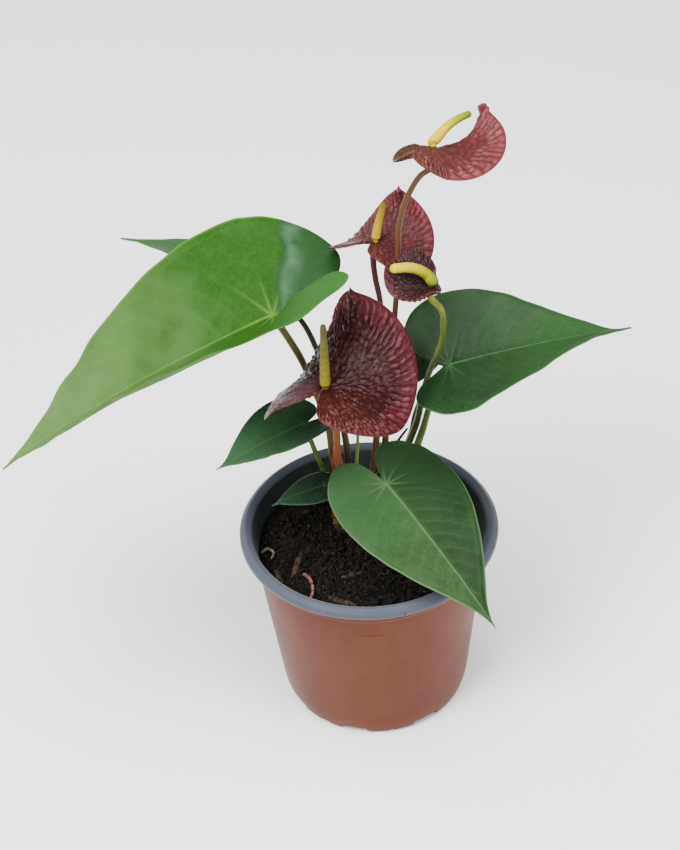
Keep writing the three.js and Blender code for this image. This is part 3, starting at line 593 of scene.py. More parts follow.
def side_veins(outline, scale, fine, shift):
    """The veins that leave the midrib on one half of a leaf."""
    front = outline[: np.argmin(outline[:, 0]) + 1][::-1]
    lines = []
    for number in range(9):
        start = 0.06 + 0.8 * ((number + shift) / 9) ** 1.1
        end = start + 0.22 * (1 - start) + 0.03
        reach = 0.9 * np.interp(end, front[:, 0], front[:, 1])
        share = np.linspace(0, 1, VEIN_POINTS)
        line = np.stack([start + (end - start) * share ** 1.6, reach * share], 1) * scale
        lines.append((line, (0.75 * fine, 0.4 * fine), (0.6, 0.3)))
    return lines


def sheet(blade):
    """A blade's flat points in rings about the joint, and all that follows from them.

    `flat` has shares of length and width, `place` millimetres, `folded` the same with both
    halves on one side, and `ring` how far out each point is."""
    sectors, rings = blade.mesh
    outline = half_outline(blade.outline, sectors)
    loop = np.vstack([outline, outline[1:-1][::-1] * np.array([1, -1])])
    shares = np.arange(1, rings + 1) / rings
    flat = np.vstack([[(0, 0)], (shares[:, None, None] * loop).reshape(-1, 2)])
    count, rim = len(flat), len(flat) - len(loop)
    upper = flipped(shell(rings, len(loop), end=False))
    faces = upper + shifted([face[::-1] for face in upper], count)
    for a in range(rim, count):
        b = a + 1 if a + 1 < count else rim
        faces.append((a, count + a, count + b, b))
    scale = blade.length * np.array([1, blade.width])
    place = flat * scale
    return SimpleNamespace(
        outline=outline, scale=scale, edge=outline * scale, flat=flat, place=place,
        folded=np.abs(place * np.array([0, 1])) + place * np.array([1, 0]), faces=faces,
        ring=np.concatenate([[0], np.repeat(shares, len(loop))]))


def make_blade(node, slot, material, blade, s, lift, upper, lower, **attributes):
    """Both faces of a sheet: `lift` moves the middle, `upper` and `lower` the two faces."""
    u, v = s.flat.T
    if blade.knob:
        tip = bell(u - 0.95, 0.05)
        upper, lower = upper + blade.knob * tip, lower + blade.knob * tip
        v = v * (1 + blade.knob * tip)
    middle, normal = blade_point(blade, u, v), blade_normal(blade, u, v)
    points = [middle + normal * rise[:, None] for rise in (lift + upper, lift - lower)]
    attributes |= dict(
        edge=s.ring, along=u, flat=np.column_stack([s.place, np.zeros(len(u))]) * MM)
    both = {key: np.concatenate([values, values]) for key, values in attributes.items()}
    under = np.repeat([0.0, 1.0], len(u))
    look(node, np.vstack(points), s.faces, slot, material, under=under, **both)


def make_leaf(name, blade, material, seed):
    s = sheet(blade)
    length = blade.length
    u, v = s.flat.T
    fine = math.sqrt(length / FULL_VEINS)
    midrib = np.array([(0, 0), (0.5 * length, 0), (length, 0)])
    middle = near_lines(s.folded, [(midrib, (0.7 * fine, 0.25 * fine), (1, 0.75))])
    basal = basal_veins(
        s.edge, ((0.5, 6), (0.62, 9), (0.73, 11), (0.84, 10)), 0.9,
        (0.65 * fine, 0.35 * fine), (1, 0.35))
    by_edge = 0.93 * s.edge[: int(0.86 * len(s.edge)):6], (0.45 * fine, 0.45 * fine), (0.35, 0.35)
    star, sides, groove = np.zeros((3, len(u)))
    for side, shift in ((1, 0.0), (-1, 0.45)):
        rows = side * v >= 0
        laterals = side_veins(s.outline, s.scale, fine, shift)
        star[rows] = near_lines(s.folded[rows], basal)
        sides[rows] = near_lines(s.folded[rows], [*laterals, by_edge])
        groove[rows] = near_lines(s.folded[rows], [
            (line, (3.2 * start + 0.5, 3.2 * end + 0.5), weights)
            for line, (start, end), weights in laterals + basal])
    near = bell(np.linalg.norm(s.folded, axis=1), 0.1 * length)
    vein = np.maximum.reduce([
        middle * (0.6 + 0.4 * near), star * (0.06 + 0.6 * near), 0.2 * sides])
    lift = (
        waves(s.place, 0.42 * length, seed) * 0.006 * length * s.ring ** 1.5
        + waves(s.place, 0.16 * length, seed + 1) * 0.0035 * length * s.ring ** 6
        - 0.32 * fine * groove * (1 - s.ring ** 8))
    half = LEAF_THICKNESS / 2 * (1 - 0.7 * smooth(s.ring, 0.93, 1))
    # `half` marks the first half, where a leaf's painted shade falls.
    attributes = dict(vein=vein, half=smooth(v, -0.01, 0.03))
    # Beyond the crease lies the lobe that takes a painted shade, and by the crease a band of
    # painted sheen; `near` marks the raised lobe.
    if blade.crease[1]:
        beyond = beyond_crease(blade, u, v) + 1.8 * waves(s.place, 17, seed + 2)
        attributes |= dict(
            lobe=smooth(beyond, -1.5, 1.5),
            sheen_band=smooth(beyond, 0.5, 4) * (1 - smooth(beyond, 4, 14)),
            near=smooth(v, 0, 0.05) * smooth(-u, -0.06, 0.1))
    make_blade(
        f"leaf_{name}", "fresh_leaf" if name == "left_large" else "leaf", material, blade, s,
        lift, half + 0.25 * fine * middle, half + 0.9 * fine * middle, **attributes)


def cells(points, radial, tangential, seed):
    """A net of cells about the joint: distance from the net, and a random value per cell."""
    random = np.random.default_rng(seed)
    sites = [(0.0, 0.0)]
    furthest = np.linalg.norm(points, axis=1).max()
    for ring in range(1, int(furthest / radial) + 3):
        radius = ring * radial
        number = max(5, round(2 * math.pi * radius / tangential))
        angles = (np.arange(number) + random.uniform(-0.32, 0.32, number)) / number * 2 * math.pi
        radii = radius + radial * random.uniform(-0.32, 0.32, number)
        sites += list(zip(radii * np.cos(angles), radii * np.sin(angles)))
    values = random.uniform(0, 1, len(sites))
    gaps, nearest = [], []
    for some in np.array_split(points, math.ceil(len(points) / 2000)):
        distance = np.linalg.norm(some[:, None] - np.array(sites), axis=2)
        first, second = np.partition(distance, 1, axis=1)[:, :2].T
        gaps.append(second - first)
        nearest.append(distance.argmin(1))
    return np.concatenate(gaps), values[np.concatenate(nearest)]


def make_spathe(name, blade, material, seed):
    s = sheet(blade)
    length, cell = blade.length, blade.cell
    u, v = s.flat.T
    warp = np.stack([waves(s.place, 9, seed + 5), waves(s.place, 9, seed + 6)], 1) * 0.7
    gap, value = cells(s.place + warp, cell * 1.25, cell, seed)
    small_gap, small_value = cells(s.place + warp, cell * 0.55, cell * 0.5, seed + 1)
    dome = 1 - np.exp(-(gap / (0.3 * cell)) ** 1.5)
    small_dome = 1 - np.exp(-(small_gap / (0.16 * cell)) ** 1.5)
    midrib = np.array([(0, 0), (0.5 * length, 0), (0.97 * length, 0)])
    vein = near_lines(s.folded, basal_veins(
        s.edge, ((0.2, 14), (0.36, 12), (0.52, 9), (0.67, 8), (0.82, 6)), 0.93, (0.9, 0.45),
        (1, 0.4)) + [(midrib, (1.0, 0.4), (1, 0.6))])
    ribbon = smooth(v, 0.02, 0.12) * smooth(-u, -0.15, 0.05)
    calm = 1 - 0.7 * ribbon
    angle = np.arctan2(s.place[:, 1], s.place[:, 0])
    ripple = np.cos(blade.ripples * angle + 1.4 * waves(s.place, 11, seed + 3)) * (
        smooth(s.ring, 0.62, 0.8) * (1 - smooth(s.ring, 0.965, 1)) * calm)
    relief = (0.62 * dome * (0.55 + 0.9 * value) + 0.26 * small_dome * small_value) * (
        smooth(s.ring, 0.03, 0.2) * (1 - smooth(s.ring, 0.955, 1)) * calm)
    lift = blade.pucker * (relief - 0.45 * vein + 0.55 * ripple)
    lift = lift + waves(s.place, 0.5 * length, seed + 2) * 0.012 * length * s.ring ** 2
    half = SPATHE_THICKNESS / 2 * (1 - 0.6 * smooth(s.ring, 0.94, 1))
    # `relief` and `vein` also place the painted shade in the hollows and the painted highlights
    # on the crests.
    make_blade(
        f"spathe_{name}", "spathe", material, blade, s, lift, half, half, vein=vein,
        ribbon=ribbon, relief=np.clip(relief + 0.4 * ripple, 0, 1))


# ------------------------------------------------------------------ stalks and spadices

def stalk_points(blade):
    """The points of a leaf's or flower's stalk, from the crown to just under the blade."""
    normal = blade_axes(blade)[2]
    foot = np.array([*blade.foot, CROWN.top - STALK_DEPTH])
    end = np.array(blade.joint) - normal * SEAT
    return [foot, foot + np.array([0, 0, 7.3]), *blade.route, end - normal * 7, end]


def stalk_radius(blade, share):
    foot, top = blade.radius
    taper = foot + (top - foot) * np.minimum(1, share / 0.625)
    return taper + 0.5 * np.maximum(0, 1 - share / 0.12)


def make_rod(node, slot, material, curve, radii, sides, by_blade=0):
    """A stalk or a shoot. `by_blade` is how strongly its end takes the colour of a joint."""
    line, tangents, length = curve
    points, faces, share, around = tube(line, tangents, radii, sides)
    look(
        node, points, faces, slot, material, share=share,
        top=by_blade * bell((1 - share) * length - 4, 6),
        flat=np.column_stack([share * length, around * STALK_WRAP, np.zeros(len(share))]) * MM)


def make_stalk(node, blade, slot, material, seed, swelling):
    curve = centripetal(stalk_points(blade), spacing=1.1)
    length = curve[2]
    share = np.linspace(0, 1, len(curve[0]))
    radii = stalk_radius(blade, share) + swelling * bell((1 - share) * length - 5, 4.5)
    radii = radii * (1 + 0.03 * waves(share[:, None] * length, 14, seed))
    sides = 20
    angles = circle(sides)
    ribs = 1 + 0.018 * np.cos(5 * angles) + 0.012 * np.cos(9 * angles + 1)
    make_rod(node, slot, material, curve, radii[:, None] * ribs, sides, by_blade=1)


def make_shoot(number, shoot, material):
    (base, tip), foot, route = shoot
    curve = centripetal([(*foot, CROWN.top - STALK_DEPTH), *route], 60)
    share = np.linspace(0, 1, 60)
    rounding = np.sqrt(1 - np.clip((share - 0.97) / 0.031, 0, 1) ** 2)
    radii = np.maximum((base + (tip - base) * share) * rounding, 0.03)
    make_rod(f"new_shoot_{number}", "red_stalk", material, curve, radii, 16)


def make_spadix(name, flower, material):
    normal = blade_axes(flower)[2]
    joint = np.array(flower.joint, float)
    start = joint + normal * SEAT
    points = [start, start + normal * 2.4] + [joint + np.array(bend) for bend in flower.bends]
    line, tangents, length = centripetal(points, spacing=0.2)
    share = np.linspace(0, 1, len(line))
    base, tip = flower.spadix_radius
    radii = (base + (tip - base) * share) * (0.62 + 0.38 * smooth(share * length, 0.6, 2.4))
    cap = 1.1 * tip / length
    radii = radii * np.sqrt(1 - np.clip((share - (1 - cap)) / cap, 0, 0.999) ** 2)
    sides, around = 56, 14
    spacing = 2 * math.pi * base / around
    rows = (share * length / (spacing * 0.87))[:, None] * math.pi
    knobs = (np.cos(circle(sides) * around) * np.cos(rows) + 1) / 2
    fade = (smooth(share * length, 1.2, 3.0) * np.minimum(1, radii / tip))[:, None]
    full = np.maximum(radii[:, None] + 0.2 * (knobs ** 0.8 - 0.5) * fade, 0.02)
    points, faces, shares, _ = tube(line, tangents, full, sides)
    # `knob` also places the painted shade between the knobs.
    look(
        f"spadix_{name}", points, faces, "spadix", material, share=shares,
        knob=np.concatenate([[0], (knobs * fade).ravel(), [0]]))


def make_sheath(number, sheath, material, seed):
    """A thin papery shell round part of its stalk, torn along its upper edge."""
    name, low, high, facing, spread = sheath
    stalk = LEAVES[name]
    line, tangents, _ = centripetal(stalk_points(stalk), 400)
    steps, columns = 46, 26
    facing = np.array([math.cos(math.radians(facing)), math.sin(math.radians(facing)), 0])
    outer, inner = [], []
    for step in range(steps + 1):
        part = step / steps
        share = low + (high - low) * part
        index = share * (len(line) - 1)
        centre = np.array([np.interp(index, np.arange(len(line)), axis) for axis in line.T])
        tangent = tangents[int(round(index))]
        front = unit(facing - tangent * facing.dot(tangent))
        aside = np.cross(tangent, front)
        turns = math.radians(spread) * (1 - 0.75 * part ** 2) * np.linspace(-1, 1, columns + 1)
        sample = np.column_stack([turns * 2.2, np.full(columns + 1, step * 0.5)])
        ragged = waves(turns[:, None], 0.35, seed + 1) * 1.2 * part ** 6
        radius = stalk_radius(stalk, share) + 0.75 + 0.28 * waves(sample, 2.4, seed)
        radius = radius + 0.5 * part ** 2
        shift = tangent * ragged[:, None]
        ray = front * np.cos(turns)[:, None] + aside * np.sin(turns)[:, None]
        outer.append(centre + ray * (radius + 0.16)[:, None] + shift)
        inner.append(centre + ray * (radius - 0.16)[:, None] + shift)
    row, top = columns + 1, steps * (columns + 1)
    under = top + row
    quads = [
        (a, a + 1, a + 1 + row, a + row)
        for step in range(steps) for a in range(step * row, step * row + columns)]
    faces = quads + shifted(flipped(quads), under)
    sides = [(a, a + row) for a in range(0, top, row)]
    for a, b in sides + [(a, a + 1) for a in range(top, top + columns)]:
        faces.append((a, b, under + b, under + a))
    for a, b in [(a + columns, b + columns) for a, b in sides] + [
            (a, a + 1) for a in range(columns)]:
        faces.append((a, under + a, under + b, b))
    look(f"dry_sheath_{number}", np.vstack(outer + inner), faces, "dry_sheath", material)


# ------------------------------------------------------------------ materials of the plant

BLACK = (0, 0, 0, 1)
EDGE = (0.975, 1.0)  # where a blade's rim takes the colour of its edge
# The first colour is a painted highlight on the crests of the spathes' puckers and ripples; the
# second is the spadix's own speckles.
CREST_HIGHLIGHT, SPADIX_SPECK = colours("aa787a c8b81e")


def leaf_material(name, palette, lobes=None, shine=SHINE.leaf, darker=0.0):
    """`palette` is deep, light, tip, vein and underside. `lobes` is the creased lobe, a painted
    shade with a bluish painted sky reflection, the band of painted sheen by its crease and the
    raised lobe. `darker` is how much darker the first half is, a painted shade."""
    s = Shader(name)
    deep, light, tip, vein, under = colours(palette)
    flat, along, veins = s.vector("flat"), s.number("along"), s.number("vein")
    broad = s.ramp(s.noise(flat, 38, 2), 0.35, 0.65)
    fine = s.ramp(s.noise(flat, 420, 4, 0.65), 0.3, 0.7)
    net = s.ramp(s.cell_edges(flat, 640), 0.0, 0.09, 1.0, 0.0)
    mottled = s.ramp(s.noise(flat, 130, 5, 0.7), 0.42, 0.62)
    # Lighter toward the tip: on the large left leaf this is partly its own tone and partly a
    # painted sheen.
    paler = s.plus(s.ramp(along, -0.05, 0.6, -0.25, 0.75), s.times(broad, 0.4))
    toward_tip = s.ramp(s.plus(along, s.times(broad, 0.2)), 0.25, 0.95)
    colour = s.layers(
        deep, (light, paler), (tip, toward_tip), (s.mix(0.2, light, vein), mottled, 0.22),
        (s.mix(0.35, light, vein), fine, 0.2), (vein, net, 0.07))
    # Painted shade: the first half of the leaf darkened toward black by `darker`.
    if darker:
        colour = s.layers(colour, (BLACK, s.number("half"), darker))
    rim = s.ramp(s.number("edge"), *EDGE)
    colour = s.layers(colour, (vein, veins, 0.75), (vein, rim, 0.6))
    if lobes:
        # The creased lobe takes a painted shade with a bluish painted sky reflection, and the
        # band by its crease a painted sheen.
        creased, sheen_band, raised = colours(lobes)
        patchy = s.ramp(s.noise(flat, 75, 4), 0.38, 0.62, 0.05, 0.6)
        colour = s.layers(
            colour, (creased, s.number("lobe"), 0.85), (sheen_band, s.number("sheen_band"), patchy),
            (raised, s.number("near"), 0.7))
    below = s.number("under")
    colour = s.layers(colour, (s.layers(under, (vein, veins, 0.7)), below))
    rough = s.plus(s.ramp(fine, 0, 1, 0.28, 0.46), s.times(below, 0.22))
    height = s.plus(s.times(net, -0.3), s.times(fine, 0.5))
    return s.finish(colour, rough, shine, s.bump(height, 0.00022, 0.55))


def spathe_material(name, palette):
    """`palette` is by the joint, the body, the margin, behind the joint, the back and the
    ribbon along the first half's lobe."""
    s = Shader(name)
    heart, body, margin, lobe, back, ribbon = colours(palette)
    flat, relief, under = s.vector("flat"), s.number("relief"), s.number("under")
    broad = s.noise(flat, 70, 3)
    fine = s.ramp(s.noise(flat, 650, 4, 0.7), 0.3, 0.7)
    edge = s.plus(s.number("edge"), s.times(s.plus(broad, -0.5), 0.5))
    behind = s.ramp(s.plus(s.number("along"), s.times(broad, 0.2)), 0.24, -0.08)
    colour = s.layers(
        heart, (body, s.ramp(edge, 0.12, 0.6)), (margin, s.ramp(edge, 0.72, 0.98)),
        (lobe, behind, 0.8), (ribbon, s.number("ribbon"), 0.85))
    # Painted shade: the colour darkened where the relief is low, in the sunken net between the
    # puckers and on the smooth parts by the joint and rim, and along the sunken veins.
    dark = s.mix(1.0, colour, (0.34, 0.3, 0.32, 1), "MULTIPLY")
    colour = s.layers(
        colour, (dark, s.ramp(relief, 0.0, 0.5, 0.75, 0.0)), (dark, s.number("vein"), 0.5),
        # Painted highlights: pale specks on the crests toward the margin.
        (s.mix(0.3, margin, CREST_HIGHLIGHT), s.ramp(relief, 0.62, 1.0),
         s.ramp(edge, 0.4, 0.85, 0.06, 0.5)),
        (margin, fine, 0.2), (margin, s.ramp(s.number("edge"), *EDGE), 0.7),
        (s.layers(back, (body, broad, 0.6)), under))
    rough = s.plus(s.ramp(fine, 0, 1, 0.17, 0.34), s.times(under, 0.2))
    return s.finish(colour, rough, SHINE.spathe, s.bump(fine, 0.00018, 0.5))


def stalk_material(name, positions, palette):
    """`palette` has a colour for each position along the stalk, its top's and its flecks'."""
    s = Shader(name)
    *stops, top, fleck = colours(palette)
    flat = s.vector("flat")
    streak = s.noise(s.stretched(flat, (0.12, 1.0, 1.0)), 900, 3)
    blotch = s.ramp(s.noise(flat, 160, 4, 0.6), 0.52, 0.7)
    colour = s.layers(
        s.stops(s.number("share"), positions, stops), (top, s.number("top"), 0.7),
        (fleck, s.ramp(streak, 0.35, 0.75, 0.0, 0.45)), (fleck, blotch, 0.35))
    return s.finish(
        colour, s.ramp(blotch, 0, 1, 0.38, 0.5), SHINE.stalk, s.bump(streak, 0.0002, 0.5))


def spadix_material(name, positions, palette, mottles=0.15):
    s = Shader(name)
    place = s.place()
    colour = s.stops(s.number("share"), positions, colours(palette))
    darker = s.mix(1.0, colour, (0.52, 0.5, 0.38, 1), "MULTIPLY")
    speck = s.ramp(s.noise(place, 1500, 2), 0.6, 0.75)
    # The knob layer is painted shade, darker in the crevices between the knobs and where the
    # knobs fade out at the foot and tip; the mottles and specks are the spadix's own colour.
    colour = s.layers(
        colour, (darker, s.ramp(s.number("knob"), 0.1, 0.65, 0.85, 0.0)),
        (darker, s.ramp(s.noise(place, 560, 3, 0.6), 0.5, 0.62), mottles),
        (SPADIX_SPECK, speck, 0.25))
    return s.finish(
        colour, s.ramp(speck, 0, 1, 0.5, 0.7), SHINE.spadix, s.bump(speck, 0.0001, 0.4),
        Subsurface_Weight=0.08, Subsurface_Scale=0.002)


def papery_material(name, palette):
    s = Shader(name)
    dark, light = colours(palette)
    place = s.place()
    fibres = s.noise(s.stretched(place, (1.0, 1.0, 0.12)), 700, 5, 0.7)
    colour = s.layers(
        dark, (light, s.ramp(fibres, 0.35, 0.68)),
        (dark, s.ramp(s.noise(place, 190, 3), 0.5, 0.72, 0.0, 0.6)))
    return s.finish(
        colour, s.ramp(fibres, 0.3, 0.7, 0.7, 0.9), SHINE.paper, s.bump(fibres, 0.0004, 0.8))


LEAF_LOOKS = {
    # The large left leaf's lobe colours are a painted shade with sky reflection, a painted sheen
    # band and the raised lobe; its tip colour also holds a painted sheen.
    "left_large": ("leaf_fresh", "163e06 2b4c21 557140 5c842e 426230",
                   "223c21 4e6d52 305726", 0.04),
    "back_left": ("leaf_back", "1c3a1c 264624 30502c 4e6c42 3c5834"),
    "left_lower": ("leaf_dark", "15301a 234226 2e4b33 4e6c4e 304c30"),
    "left_small": ("leaf_young", "08180d 0f2315 1a3021 405a44 324c32"),
    # The front leaf's last number darkens its first half as a painted shade.
    "front": ("leaf_front", "345332 294623 142a0a 628058 446436",
              None, 0.05, 0.45),
    "right_large": ("leaf_right", "102810 1d381c 233e1c 42623a 34502e"),
    "right_small": ("leaf_shade", "0e2210 162e18 1c361e 385232 2c4628"),
}
SPATHE_LOOKS = {
    "front": ("spathe_deep",
              "1b0607 22080a 501b22 3c1b11 542c2e 584046"),
    "middle": ("spathe_mauve",
               "3c1c1e 451f20 5e262a 502622 542c30 4d2b31"),
    "top": ("spathe_bright",
            "2c1414 4c2020 682e32 4a2620 50361a 403420"),
    "right": ("spathe_dark",
              "1c0e0f 2d1c1e 462628 3c2020 4a181c 382020"),
}
SPADIX_LOOKS = {
    "front": ("spadix_front", (0, 0.4, 0.8, 1), "887818 666620 525020 463c24",
              0.7),
    "middle": ("spadix_middle", (0, 0.45, 1), "ccac02 b69c02 686218"),
    "top": ("spadix_top", (0, 0.4, 0.75, 1), "ccac00 c4b000 868e0a 5a681e"),
    "right": ("spadix_right", (0, 0.25, 0.6, 1),
              "6c7602 8e9602 c4b200 ceb804"),
}
GREEN_STALK = "686c3e 4c582c 4a5c2a "
PETIOLE_LOOKS = {
    "left_large": ("stalk_olive", (0, 0.4, 1),
                   "785636 5e4c2a 626232 648238 40341e"),
    "back_left": ("stalk_shade", (0, 0.5, 1),
                  "544e2c 3a3420 323020 404a28 262018"),
    "left_lower": ("stalk_green", (0, 0.3, 1), GREEN_STALK + "62723e 3a3c22"),
    "left_small": ("stalk_small", (0, 1), "78543c 7a8254 929c68 543e2a"),
    "front": ("stalk_pale", (0, 1), "868a56 647840 7a9058 545a34"),
    "right_large": ("stalk_right", (0, 0.3, 1), GREEN_STALK + "546a32 323e1e"),
    "right_small": ("stalk_slim", (0, 0.3, 1), GREEN_STALK + "4c602e 303a1e"),
}
PEDUNCLE_LOOKS = {
    "front": ("peduncle_tan", (0, 0.4, 1),
              "965a3a 844c2e 583622 543420 643420"),
    "middle": ("peduncle_purple", (0, 0.5, 1),
               "685436 4c3026 3c2020 402022 2c1a1a"),
    "top": ("peduncle_orange", (0, 0.45, 0.75, 1),
            "60502c 422e1c 563816 423628 443022 4e2616"),
    "right": ("peduncle_green", (0, 0.6, 0.85, 1),
              "4c542c 344420 5a6822 86882e 7c7c2e 30341c"),
}
SHEATH_LOOKS = [
    ("sheath_orange", "5e2e1e 925236"), ("sheath_brown", "523620 8c643e"),
    ("sheath_red", "5c1e12 964228"),
]
SHOOT_LOOKS = [
    ("shoot_red", (0, 0.4, 1), "643828 602220 46161a 46161a 361618"),
    ("shoot_green", (0, 0.5, 1), "807446 747c46 607438 607438 5c4e2e"),
]


def make_plant():
    for number, (name, leaf) in enumerate(LEAVES.items()):
        seed = SEED + 10 * number
        make_leaf(name, leaf, leaf_material(*LEAF_LOOKS[name]), seed)
        make_stalk(
            f"petiole_{name}", leaf, "green_stalk", stalk_material(*PETIOLE_LOOKS[name]),
            seed + 5, swelling=0.45)
    for number, (name, flower) in enumerate(FLOWERS.items()):
        seed = SEED + 100 + 10 * number
        make_spathe(name, flower, spathe_material(*SPATHE_LOOKS[name]), seed)
        make_spadix(name, flower, spadix_material(*SPADIX_LOOKS[name]))
        make_stalk(
            f"peduncle_{name}", flower, "red_stalk", stalk_material(*PEDUNCLE_LOOKS[name]),
            seed + 100, swelling=0.2)
    for number, (sheath, looks) in enumerate(zip(SHEATHS, SHEATH_LOOKS), 1):
        make_sheath(number, sheath, papery_material(*looks), SEED + 300 + number)
    for number, (shoot, looks) in enumerate(zip(SHOOTS, SHOOT_LOOKS), 1):
        make_shoot(number, shoot, stalk_material(*looks))


make_plant()


# ------------------------------------------------------------------ the mix and what lies on it

def wall_radius(height):
    """The radius of the pot's wall between its bottom corner and its rim."""
    low, high = POT.corner_height, POT.height - POT.rim_depth
    share = min(1, max(0, (height - low) / (high - low)))
    return POT.base_radius + (POT.shoulder_radius - POT.base_radius) * share


def soil_height(x, y):
    """The mix's top with its swells, lumps, hollows and grains."""
    broad = np.sin(x * 0.19 + 1) * np.cos(y * 0.23)
    level = MIX_LEVEL + 0.9 * (broad + 0.5 * np.sin(y * 0.41 + x * 0.13))
    points = np.column_stack([x, y])
    lumps = 1.0 * waves(points, 9, SEED + 400) + 0.8 * waves(points, 4.2, SEED + 401)
    grains = 0.55 * waves(points, 2.2, SEED + 402) + 0.25 * waves(points, 1.1, SEED + 403, 40)
    return level + 0.7 * np.abs(lumps) + grains - 0.6


def soil_material():
    s = Shader("peat")
    black, brown, pale = colours("040403 110e0a 3a2e22")
    place = s.place()
    lumps = s.noise(place, 260, 5, 0.7)
    grains = s.noise(place, 1400, 4, 0.7)
    colour = s.layers(
        black, (brown, s.ramp(lumps, 0.4, 0.62)), (pale, s.ramp(grains, 0.62, 0.76, 0.0, 0.4)),
        (black, s.ramp(s.noise(place, 75, 3), 0.44, 0.6, 0.0, 0.75)))
    height = s.plus(lumps, s.times(grains, 0.6))
    return s.finish(
        colour, s.ramp(lumps, 0.35, 0.6, 0.45, 0.95), SHINE.soil, s.bump(height, 0.0012, 0.9))


def wood_material(name, palette, fine):
    s = Shader(name)
    dark, light = colours(palette)
    place = s.place()
    grain = s.noise(place, fine, 5, 0.65)
    colour = s.layers(
        dark, (light, s.ramp(grain, 0.36, 0.64)),
        (dark, s.ramp(s.noise(place, 330, 3), 0.52, 0.7, 0.0, 0.7)))
    return s.finish(
        colour, s.ramp(grain, 0.3, 0.7, 0.65, 0.92), SHINE.wood, s.bump(grain, 0.0005, 0.8))


def make_mix():
    """The mix as one closed body whose top is a fine uneven surface."""
    sectors, rings = 260, 110
    outer = wall_radius(MIX_LEVEL) - POT.wall - POT.stack_step - 0.3
    angles = circle(sectors)
    ring = np.column_stack([np.cos(angles), np.sin(angles)])
    flat = np.vstack([[(0, 0)], *(outer * (n / rings) * ring for n in range(1, rings + 1))])
    top = np.column_stack([flat, soil_height(*flat.T)])
    bottom = POT.floor + 0.4
    sides = [
        np.column_stack([ring * radius, np.full(sectors, height)]) for radius, height in (
            (outer, MIX_LEVEL - 5),
            (POT.base_radius - POT.wall - 0.5, POT.corner_height + 1),
            (POT.foot_radius - 1.5, bottom))]
    points = np.vstack([top, *sides, [[0, 0, bottom]]])
    faces = flipped(shell(rings + 3, sectors))
    look("potting_mix", points, faces, "potting_mix", soil_material())


def make_crown():
    """The short stem that the stalks grow from, lumpy and half hidden by the mix."""
    rows, columns = 46, 96
    (x, y), (wide, deep) = CROWN.centre, CROWN.radii
    profile = np.array([
        (0, CROWN.bottom), (0.55, 66), (0.95, 77), (1.0, 84), (0.86, 86.6), (0.5, 87.6),
        (0, CROWN.top)], float)
    in_millimetres = np.array([20, 1])  # about the crown's radius for a share of it
    line = (evenly(profile * in_millimetres, rows)[0] / in_millimetres)[1:-1]
    share, height = line[:, :1], line[:, 1:]
    angles = circle(columns)
    rings = np.stack([
        x + share * wide * np.cos(angles), y + share * deep * np.sin(angles),
        np.repeat(height, columns, 1)], 2).reshape(-1, 3)
    lumps = 0.75 * waves(rings, 7, SEED + 410) + 0.45 * waves(rings, 3, SEED + 411)
    rings = rings + unit(rings - np.array([x, y, 76])) * lumps[:, None] * 0.9
    rings[:, 2] = np.minimum(rings[:, 2], CROWN.top + 0.8)
    points = np.vstack([[[x, y, CROWN.bottom]], rings, [[x, y, CROWN.top]]])
    material = wood_material("crown", "1a120e 543e2a", 420)
    look("root_crown", points, shell(rows - 2, columns), "crown", material)


def blob():
    """The corners and faces of an icosahedron, for crumbs."""
    golden = (1 + math.sqrt(5)) / 2
    corners = unit(np.array([
        corner for a in (-1, 1) for b in (-golden, golden)
        for corner in ((0, a, b), (a, b, 0), (b, 0, a))], float))
    longest_edge = 1.1
    faces = []
    for i, j, k in itertools.combinations(range(len(corners)), 3):
        a, b, c = corners[[i, j, k]]
        if max(np.linalg.norm([a - b, b - c, a - c], axis=1)) < longest_edge:
            outward = np.cross(b - a, c - a).dot(a) > 0
            faces.append((i, j, k) if outward else (i, k, j))
    return corners, faces


def on_crown(x, y, margin=0.0):
    (cx, cy), (wide, deep) = CROWN.centre, CROWN.radii
    return ((x - cx) / (wide + margin)) ** 2 + ((y - cy) / (deep + margin)) ** 2 < 1


def scatter(random, count, reach):
    radius = reach * np.sqrt(random.uniform(0, 1, count))
    angle = random.uniform(0, 2 * math.pi, count)
    return np.column_stack([radius * np.cos(angle), radius * np.sin(angle)])


def make_crumbs(name, count, sizes, material, seed):
    random = np.random.default_rng(seed)
    corners, shape = blob()
    places = scatter(random, count, MIX_REACH)
    base = np.where(on_crown(*places.T), CROWN.top - 0.6, soil_height(*places.T))
    points, faces = [], []
    for index in range(count):
        size = random.uniform(*sizes) * np.array(
            [random.uniform(*span) for span in ((0.7, 1.5), (0.6, 1.1), (0.45, 0.9))]) / 2
        crumb = corners * random.uniform(0.7, 1.25, (12, 1)) * size
        turn = Matrix.Rotation(random.uniform(0, 6.28), 3, "Z") @ Matrix.Rotation(
            random.uniform(-0.7, 0.7), 3, "X")
        seat = base[index] + 0.25 * size[2] * random.uniform(-1, 2)
        points.append(crumb @ np.array(turn).T + np.array([*places[index], seat]))
        faces += shifted(shape, 12 * index)
    make_piece(name, np.vstack(points), faces, "potting_mix", material, smooth=False)


